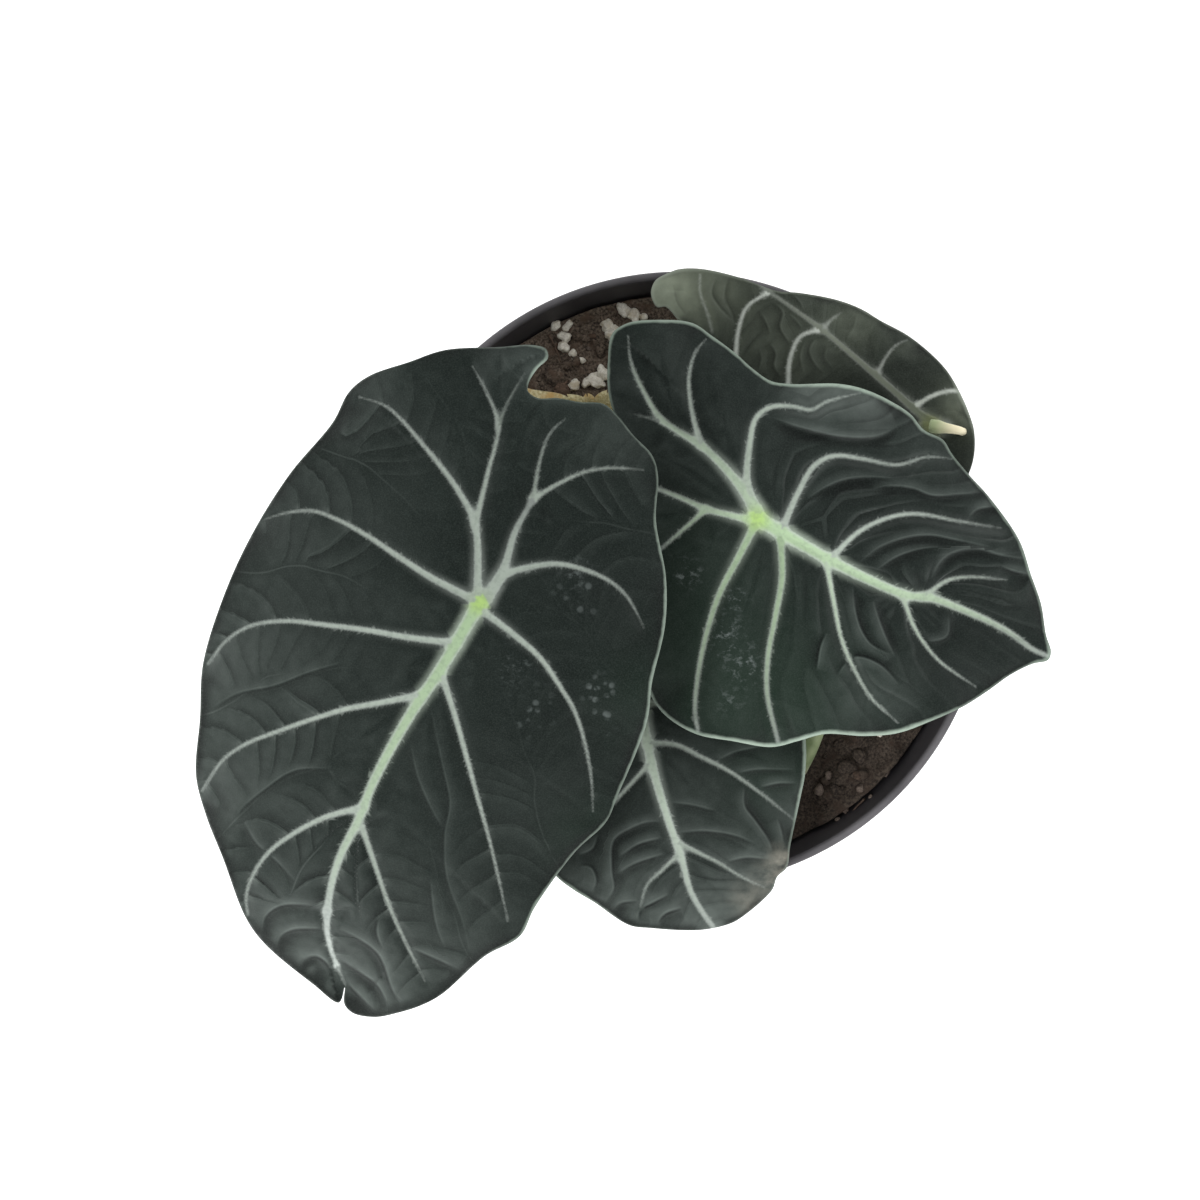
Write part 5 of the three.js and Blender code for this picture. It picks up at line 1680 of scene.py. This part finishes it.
@dataclass(frozen=True)
class Crown:
    """A short ringed crown wrapped in papery sheath scales, each given by its angle, length and lean."""

    name: str
    node: str
    x: float
    y: float
    radius: float
    above: float
    below: float
    scales: Sequence[tuple[float, float, float]] = ()
    soil_top: float = 98.0
    seed: int = 3
    scale_half: float = 0.28

    def body(self) -> tuple[Array, list[Face]]:
        """Turns the crown's lumpy ringed body.

        Returns:
            Its vertex places and faces.
        """
        rings, sides = 36, 48
        share = np.linspace(0.0, 1.0, rings)
        heights = self.soil_top - self.below + (self.below + self.above) * share
        belly = 0.72 + 0.28 * np.sin(math.pi * np.minimum(1.0, share * 1.1))
        belly *= np.sqrt(np.clip(1.04 - share**6, 0, 1))
        scars = 1 - 0.05 * (np.abs(np.sin(share * math.pi * 8)) < 0.25)
        column = np.roll(ring_places(np.full(rings, 6.0), heights, sides), 1, axis=1)
        knobs = value_noise(column, 3.0, self.seed)
        radii = (self.radius * belly * scars)[:, None] * (1 + 0.05 * knobs.reshape(rings, sides))
        return (ring_places(radii, heights, sides) + [self.x, self.y, 0]) * MM, ring_faces(rings, sides)

    def scale(self, angle: float, length: float, lean: float) -> tuple[Array, list[Face]]:
        """Shapes one pointed sheath scale that leans out from the crown.

        Args:
            angle: Where it stands round the crown.
            length: How tall it is.
            lean: How far its tip leans out.

        Returns:
            Its vertex places and faces.
        """
        steps, across = 14, 10
        side, t, k = np.meshgrid(
            [self.scale_half, -self.scale_half], np.linspace(0, 1, steps + 1), np.linspace(-1, 1, across + 1),
            indexing="ij",
        )
        turn = angle + k * (0.5 * (1 - t**1.6) + 0.02) + 0.05 * np.sin(9 * t + angle * 5)
        reach = self.radius * 0.86 + lean * t * t + side * (1.1 - t) + 0.9 * k**2 * t
        z = self.soil_top + 2.4 + length * t - 0.25 * lean * t**4
        places = np.stack([self.x + reach * np.cos(turn), self.y + reach * np.sin(turn), z], axis=-1)
        row, sheet = across + 1, (across + 1) * (steps + 1)
        faces: list[Face] = []
        for a in (i * row + k for i in range(steps) for k in range(across)):
            faces.append((a, a + 1, a + row + 1, a + row))
            faces.append((sheet + a, sheet + a + row, sheet + a + row + 1, sheet + a + 1))
        ring = [i * row for i in range(steps)] + [steps * row + k for k in range(across)]
        ring += [i * row + across for i in range(steps, 0, -1)] + list(range(across, 0, -1))
        faces += [(p, q, sheet + q, sheet + p) for p, q in zip(ring, ring[1:] + ring[:1])]
        return places.reshape(-1, 3) * MM, faces

    def build(self, finish: bpy.types.Material) -> bpy.types.Object:
        """Builds the crown with its scales.

        Args:
            finish: The sheath material.

        Returns:
            The finished piece.
        """
        piece = new_mesh(self.name, *join([self.body(), *(self.scale(*row) for row in self.scales)]))
        return settle(piece, [finish], Slot.SHEATH, self.node)


# ---- pot and potting mix ----


@dataclass(frozen=True)
class Pot:
    """A thin tapered plastic pot with an outward lip, a raised bead low on its wall and drain holes."""

    rim_radius: float = 77.0
    height: float = 110.0
    base_radius: float = 54.0
    wall: float = 1.4
    lip_drop: float = 9.0
    lip_overhang: float = 0.8
    floor: float = 2.4
    drain_holes: int = 6
    drain_radius: float = 4.0
    drain_circle: float = 36.0
    bead: Sequence[Point] = ((14.0, 0.0), (14.6, 0.28), (15.6, 0.28), (16.2, 0.0))
    wall_row: float = 96.0
    sides: int = 240

    def outer(self, z: float) -> float:
        """The wall's outer radius at a height."""
        return self.base_radius + (self.rim_radius - self.lip_overhang - self.base_radius) * z / self.height

    def inner(self, z: float) -> float:
        """The wall's inner radius at a height."""
        return self.outer(z) - self.wall

    def profile(self) -> Array:
        """Lists the section from the middle of the underside round to the middle of the floor.

        Returns:
            Radius, height, and abrasion with the painted lip highlight, for each corner, one row each.
        """
        base, lip, top, foot = self.base_radius, self.rim_radius, self.height, self.height - self.lip_drop
        inside = self.inner(top)
        return np.array([
            (0.0, 0.6, 0.0), (base - 7, 0.6, 0.0), (base - 6.2, 0.0, 0.4), (base - 1.6, 0.0, 0.4),
            (base - 0.5, 0.4, 0.5), (base, 1.5, 0.3),
            *((self.outer(z) + rise, z, 0.1) for z, rise in self.bead),
            (self.outer(foot - 14), foot - 14, 0.0), (self.outer(foot - 1.2), foot - 1.2, 0.0),
            (self.outer(foot) + 0.3, foot - 0.4, 0.1), (lip - 0.4, foot, 0.3), (lip - 0.1, foot + 0.4, 0.5),
            # High values at the lip's top edges paint its highlight as well as its abrasion.
            (lip, foot + 1.0, 0.4), (lip, top - 1.2, 0.3), (lip - 0.2, top - 0.45, 0.8),
            (lip - 0.6, top - 0.1, 1.0), (lip - 1.1, top, 1.0),
            (inside + 0.7, top - 0.1, 0.9), (inside + 0.2, top - 0.45, 0.5), (inside, top - 1.2, 0.15),
            (self.inner(self.wall_row), self.wall_row, 0.0),
            (self.inner(self.floor + 2), self.floor + 2, 0.0),
            (self.inner(self.floor) - 1.5, self.floor, 0.0), (0.0, self.floor, 0.0),
        ])

    def build(self, finish: bpy.types.Material) -> bpy.types.Object:
        """Turns the pot and bores its drain holes.

        Args:
            finish: The pot's material.

        Returns:
            The finished piece.
        """
        radii, heights, abrasion_and_lip_highlight = self.profile().T
        rings = ring_places(radii[1:-1], heights[1:-1], self.sides)
        places = np.vstack([[0, 0, heights[0]], rings, [0, 0, heights[-1]]]) * MM
        piece = new_mesh("nursery_pot", places, ring_faces(len(radii) - 2, self.sides, poles=True))
        # Abrasion with the painted lip highlight, for the finish to read.
        add_field(piece, "abrasion_and_highlight", np.concatenate([[0.0], np.repeat(abrasion_and_lip_highlight[1:-1], self.sides), [0.0]]))
        self._bore(piece)
        return settle(piece, [finish], Slot.POT, "pot")

    def _bore(self, piece: bpy.types.Object) -> None:
        """Cuts the drain holes through the pot's floor.

        Args:
            piece: The pot.
        """
        tool = bmesh.new()
        radius, depth = self.drain_radius * MM, self.floor * 3 * MM
        for angle in angles(self.drain_holes) + math.pi / self.drain_holes:
            x, y = math.cos(angle) * self.drain_circle, math.sin(angle) * self.drain_circle
            spot = Matrix.Translation(Vector((x, y, self.floor / 2)) * MM)
            bmesh.ops.create_cone(
                tool, cap_ends=True, segments=32, radius1=radius, radius2=radius, depth=depth, matrix=spot
            )
        drill = bpy.data.meshes.new("drill")
        tool.to_mesh(drill)
        tool.free()
        cut = piece.modifiers.new("drain", "BOOLEAN")
        cut.operation = "DIFFERENCE"
        cut.solver = "EXACT"
        cut.object = add_object("drill", drill)
        bpy.context.view_layer.update()
        seen = piece.evaluated_get(bpy.context.evaluated_depsgraph_get())
        bored = bpy.data.meshes.new_from_object(seen)
        bpy.data.objects.remove(cut.object)
        piece.modifiers.clear()
        piece.data = bored


WHITE_LUMPS = [
    (-31, 63.5, 1.3), (-28.25, 63.5, 1.4), (-28.75, 60.5, 1.7), (-29, 58, 1.6), (-26.75, 56.25, 1.2),
    (-24.5, 54.75, 0.9), (-30.5, 50.25, 0.6), (-26.5, 48.5, 1.3), (-19.25, 51.25, 1.6), (-20.75, 49.5, 1.7),
    (-23, 49.25, 1.2), (-18, 63.5, 1.5), (-17.25, 61.25, 1.5), (-14, 67.25, 1.6), (-11.5, 65.75, 1.5),
    (-9.25, 65.5, 1.2), (-16.5, 62.75, 1.2),
]
STAINED_LUMPS = [
    (37, -49, 1.1), (45, -52.25, 1.5), (51.25, -48.5, 1.1), (41.25, -57.5, 0.8), (39.5, -60.25, 0.8),
    (34.6, -52.6, 1.3), (47.6, -54.6, 0.8),
]
SOIL_HEAP = (50, -50, 26, 3.2)
ROOT_ROUTES = [[(46.8, -55.4), (44.8, -57.4), (43, -60)], [(-33, 62), (-31, 58), (-30, 55)]]


@dataclass
class PottingMix:
    """Peat, bark and perlite: a rough bed, loose crumbs, white lumps and a few root strands."""

    pot: Pot
    holes: Sequence[Spot]
    below_rim: float = 12.0
    relief: float = 1.6
    wall_gap: float = 0.35
    strand_count: int = 16
    seed: int = 77

    def __post_init__(self) -> None:
        """Sets up the random draw."""
        self.draw = np.random.default_rng(self.seed)

    @property
    def level(self) -> float:
        """The mean height of the soil."""
        return self.pot.height - self.below_rim

    def surface(self, flat: Array) -> Array:
        """Gives the height of the bed before its crumbs.

        Args:
            flat: Real places on the bed, one row each.

        Returns:
            One height for each place.
        """
        x, y = flat.T
        swell = np.sin(x * 0.11 + 1.3) * np.cos(y * 0.09 - 0.4)
        crumb = np.sin(x * 0.47 + y * 0.31) * np.cos(y * 0.53 - x * 0.21)
        return self.level + self.relief * (0.6 * swell + 0.4 * crumb) + patches([SOIL_HEAP], flat)

    def bed(self, finish: bpy.types.Material) -> bpy.types.Object:
        """Builds the bed: a rough top on a plain body that fills the pot.

        Args:
            finish: The soil's material.

        Returns:
            The finished piece.
        """
        sides, rings = 260, 92
        radius = self.pot.inner(self.level - 1) - self.wall_gap
        reach = np.sqrt(np.linspace(0.0, 1.0, rings + 1)[1:]) * radius
        flat = np.vstack([[0.0, 0.0], ring_places(reach, np.zeros(rings), sides)[:, :2]])
        z = self.surface(flat) + 0.9 * value_noise(flat, 3.4, 5) + 0.55 * value_noise(flat, 1.5, 6)
        z += 0.3 * value_noise(flat, 0.8, 7) + 1.6 * smooth_step(radius - 4, radius, np.hypot(*flat.T))
        bottom = self.pot.floor + 0.3
        foot = ring_places([self.pot.inner(bottom) - 0.6], [bottom], sides)
        places = np.vstack([np.column_stack([flat, z]), foot, [0, 0, bottom]]) * MM
        faces = [face[:1] + face[:0:-1] for face in ring_faces(rings + 1, sides, poles=True)]
        return settle(new_mesh("soil_bed", places, faces), [finish], Slot.MIX, "soil")

    def lumps(
        self, name: str, finish: bpy.types.Material, spots: Sequence[Spot], *, detail: int, proud: float,
        flatten: float,
    ) -> bpy.types.Object:
        """Scatters rough lumps that sit in the bed, as one mesh.

        Args:
            name: The piece's name.
            finish: Its material.
            spots: Real place and radius of each lump.
            detail: How finely each lump is divided.
            proud: How far a lump's middle lies above the bed, in radii.
            flatten: The lump's height over its width.

        Returns:
            The finished piece.
        """
        ball = bmesh.new()
        bmesh.ops.create_icosphere(ball, subdivisions=detail, radius=1.0)
        unit = np.array([vertex.co for vertex in ball.verts])
        unit_faces = [tuple(vertex.index for vertex in face.verts) for face in ball.faces]
        ball.free()
        parts = []
        for i, (x, y, radius) in enumerate(spots):
            turn = np.array(Euler(self.draw.uniform(0, TAU, 3)).to_matrix())
            stretch = self.draw.uniform(0.7, 1.3, 3)
            rough = 1 + 0.34 * value_noise(unit * stretch + i * 3.7, 0.75, 9)
            rough += 0.2 * value_noise(unit + i * 5.1, 0.35, 8)
            shaped = (unit * stretch * rough[:, None]) @ turn.T * [1, 1, flatten]
            z = self.surface(np.array([[x, y]]))[0] + radius * proud
            parts.append(((shaped * radius + [x, y, z]) * MM, unit_faces))
        return settle(new_mesh(name, *join(parts)), [finish], Slot.MIX)

    def scatter(self, count: int, smallest: float, largest: float) -> list[Spot]:
        """Draws places all over the bed, clear of the stalks and the crowns.

        Args:
            count: How many to draw.
            smallest: The least radius.
            largest: The greatest radius.

        Returns:
            Real place and radius of each.
        """
        spots: list[Spot] = []
        furthest = self.pot.inner(self.level) - largest * 1.3
        while len(spots) < count:
            angle, reach = self.draw.uniform(0, TAU), math.sqrt(self.draw.uniform(0, 1)) * furthest
            radius = smallest + (largest - smallest) * self.draw.uniform(0, 1) ** 2.5
            x, y = reach * math.cos(angle), reach * math.sin(angle)
            if all(math.hypot(x - hx, y - hy) > room + radius for hx, hy, room in self.holes):
                spots.append((x, y, radius))
        return spots

    def from_plan(self, rows: Sequence[Spot]) -> list[Spot]:
        """Moves lumps that are drawn on the plan down to the bed.

        Args:
            rows: Plan place and radius of each.

        Returns:
            Real place and radius of each.
        """
        x, y, radii = np.array(rows).T
        places = PLAN.lift_off(x, y, np.full(len(rows), 1.0 - self.below_rim)) / MM
        return [(place[0], place[1], radius) for place, radius in zip(places, radii)]

    def strands(self, finish: bpy.types.Material) -> bpy.types.Object:
        """Lays a few thin root strands on the bed.

        Args:
            finish: Their material.

        Returns:
            The finished piece.
        """
        routes = list(ROOT_ROUTES)
        for _ in range(self.strand_count):
            angle, reach = self.draw.uniform(0, TAU), self.draw.uniform(15, 58)
            start = np.array([reach * math.cos(angle), reach * math.sin(angle)])
            bend = self.draw.normal(0, 3.2, (2, 2))
            routes.append([start, start + bend[0], start + bend[0] + bend[1]])
        parts = []
        for route in routes:
            line = smooth_line(route, 0.8)
            z = self.surface(line) + 1.0 + 0.3 * np.sin(np.arange(len(line)) * 0.9)
            parts.append(tube(np.column_stack([line, z]) * MM, np.linspace(0.34, 0.14, len(line)) * MM, 6))
        return settle(new_mesh("root_strands", *join(parts)), [finish], Slot.MIX)


# ---- studio ----


SQUARE = ((-1, -1), (1, -1), (1, 1), (-1, 1))


@dataclass(frozen=True)
class Lamp:
    """A round soft lamp: its name, place and width in metres, and power."""

    name: str
    place: tuple[float, float, float]
    width: float
    power: float


@dataclass(frozen=True)
class Studio:
    """A pale floor, soft light and the camera straight above the plant."""

    sheet_width: float = 300.0
    sensor: float = 36.0
    clip_end: float = 20.0
    floor_half: float = 3.0
    floor_drop: float = 0.0005
    sky_strength: float = 0.8
    aim_height: float = 0.12
    lamps: Sequence[Lamp] = (
        Lamp("key", (-0.75, -0.7, 1.15), 0.7, 12.0),
        Lamp("fill", (0.9, 0.5, 1.3), 0.9, 3.0),
    )

    def camera(self) -> None:
        """Hangs the camera at the plan's eye point, looking straight down."""
        lens = bpy.data.cameras.new("camera")
        lens.sensor_width = self.sensor
        lens.lens = self.sensor * PLAN.eye_above / self.sheet_width
        lens.clip_end = self.clip_end
        eye = add_object("camera", lens)
        eye.location = Vector((PLAN.eye_x, PLAN.eye_y, PLAN.rim_height + PLAN.eye_above)) * MM
        bpy.context.scene.camera = eye

    def floor(self) -> None:
        """Lays the pale floor."""
        corners = [(x * self.floor_half, y * self.floor_half, -self.floor_drop) for x, y in SQUARE]
        floor = new_mesh("floor", np.array(corners), [(0, 1, 2, 3)])
        floor.data.materials.append(Shader("floor_paper").finish(
            Base_Color=rgb(250, 250, 250), Roughness=0.9, Specular_IOR_Level=0.1, Emission_Color=WHITE,
            Emission_Strength=0.6,
        ))

    def lights(self) -> None:
        """Sets an even pale sky and large soft lamps that aim at the plant."""
        world = bpy.data.worlds.new("sky")
        world.use_nodes = True
        sky = world.node_tree.nodes["Background"]
        sky.inputs["Color"].default_value = WHITE
        sky.inputs["Strength"].default_value = self.sky_strength
        bpy.context.scene.world = world
        for lamp in self.lamps:
            light = bpy.data.lights.new(lamp.name, "AREA")
            light.shape = "DISK"
            light.size = lamp.width
            light.energy = lamp.power
            lit = add_object(lamp.name, light)
            lit.location = lamp.place
            aim = Vector((0, 0, self.aim_height)) - Vector(lamp.place)
            lit.rotation_euler = aim.to_track_quat("-Z", "Y").to_euler()
        bpy.context.scene.view_settings.view_transform = "Standard"


# ---- the plant's own finishes and crowns ----

# The underside's own tones, with its painted sheen, highlight and shade colours.
UNDERSIDE = LeafFinish(
    "leaf_underside", tissue=rgb(28, 33, 28), tissue_high=rgb(48, 54, 48), tissue_green=rgb(40, 48, 38),
    painted_sheen=rgb(134, 142, 124), pale_pile_and_relief_light=rgb(138, 146, 136), hollow=rgb(8, 11, 8), vein_grey=rgb(190, 196, 188),
    vein_green=rgb(138, 148, 120), hub=rgb(168, 176, 124), trim=rgb(146, 154, 140), roughness=0.8,
)
SHEATH = MixFinish(
    "crown_sheath", dark=rgb(178, 160, 108), light=rgb(228, 220, 178), tint=rgb(204, 168, 108), broad=180,
    grain=1200, roughness=0.6, bump_mm=0.15, sheen=0.1,
)
SOIL = MixFinish(
    "potting_mix", dark=rgb(45, 38, 33), light=rgb(128, 114, 100), tint=rgb(92, 76, 64), broad=260,
    grain=1500, roughness=0.95, bump_mm=0.5, lower_right_darkening=0.62,
)
BARK = MixFinish(
    "bark", dark=rgb(58, 46, 38), light=rgb(116, 96, 82), tint=rgb(84, 68, 56), broad=300, grain=1300,
    roughness=0.9, bump_mm=0.4, lower_right_darkening=0.5,
)
PERLITE = MixFinish(
    "perlite", dark=rgb(206, 200, 186), light=rgb(244, 240, 228), tint=rgb(196, 184, 160), broad=320,
    grain=1700, roughness=0.9, bump_mm=0.3,
)
STAINED = MixFinish(
    "stained_perlite", dark=rgb(84, 74, 68), light=rgb(122, 110, 100), tint=rgb(92, 78, 70), broad=320,
    grain=1700, roughness=0.9, bump_mm=0.3,
)
CROWNS = [
    Crown(
        "crown_with_scales", "crown", x=-21, y=34.75, radius=9.5, above=8.5, below=13.5,
        scales=[
            (1.34, 9, 3.8), (2.12, 9, 4.6), (2.52, 7, 15), (1.8, 8, 3), (3.1, 8, 3), (4.1, 9, 4), (5.2, 8, 3),
        ],
    ),
    Crown("side_shoot_with_scales", "side_shoot", x=27.3, y=-51, radius=4.8, above=4.2, below=8.7, seed=8),
]
CLEAR_SPOTS = [(-21.0, 34.75, 10.5), (28.5, -53.5, 5.5)]


def main() -> None:
    """Builds the studio and the plant, piece by piece."""
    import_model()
    studio = Studio()
    studio.camera()
    studio.floor()
    studio.lights()

    velvet, underside = LeafFinish("velvet_leaf").build(), UNDERSIDE.build()
    for blade in (LEAF_A, LEAF_B, LEAF_C, LEAF_D):
        blade.build(velvet, underside)
    stalk_finish = StalkFinish().build()
    for stalk in STALKS:
        stalk.build(stalk_finish)
    sheath = SHEATH.build()
    for crown in CROWNS:
        crown.build(sheath)

    pot = Pot()
    pot.build(PotFinish().build())
    mix = PottingMix(pot, CLEAR_SPOTS)
    soil, bark = SOIL.build(), BARK.build()
    mix.bed(soil)
    spots = mix.scatter(900, smallest=0.6, largest=2.6)
    mix.lumps("soil_crumbs", soil, spots, detail=2, proud=0.35, flatten=0.8)
    spots = mix.scatter(110, smallest=0.8, largest=2.6)
    mix.lumps("bark_bits", bark, spots, detail=2, proud=0.6, flatten=0.4)
    spots = mix.from_plan(WHITE_LUMPS) + mix.scatter(46, smallest=0.4, largest=1.2)
    mix.lumps("perlite", PERLITE.build(), spots, detail=3, proud=0.6, flatten=0.85)
    spots = mix.from_plan(STAINED_LUMPS) + mix.scatter(24, smallest=0.6, largest=1.5)
    mix.lumps("stained_perlite", STAINED.build(), spots, detail=2, proud=0.5, flatten=0.8)
    mix.strands(bark)


if __name__ == "__main__":
    logging.basicConfig(level=logging.INFO, format="%(name)s: %(message)s")
    main()
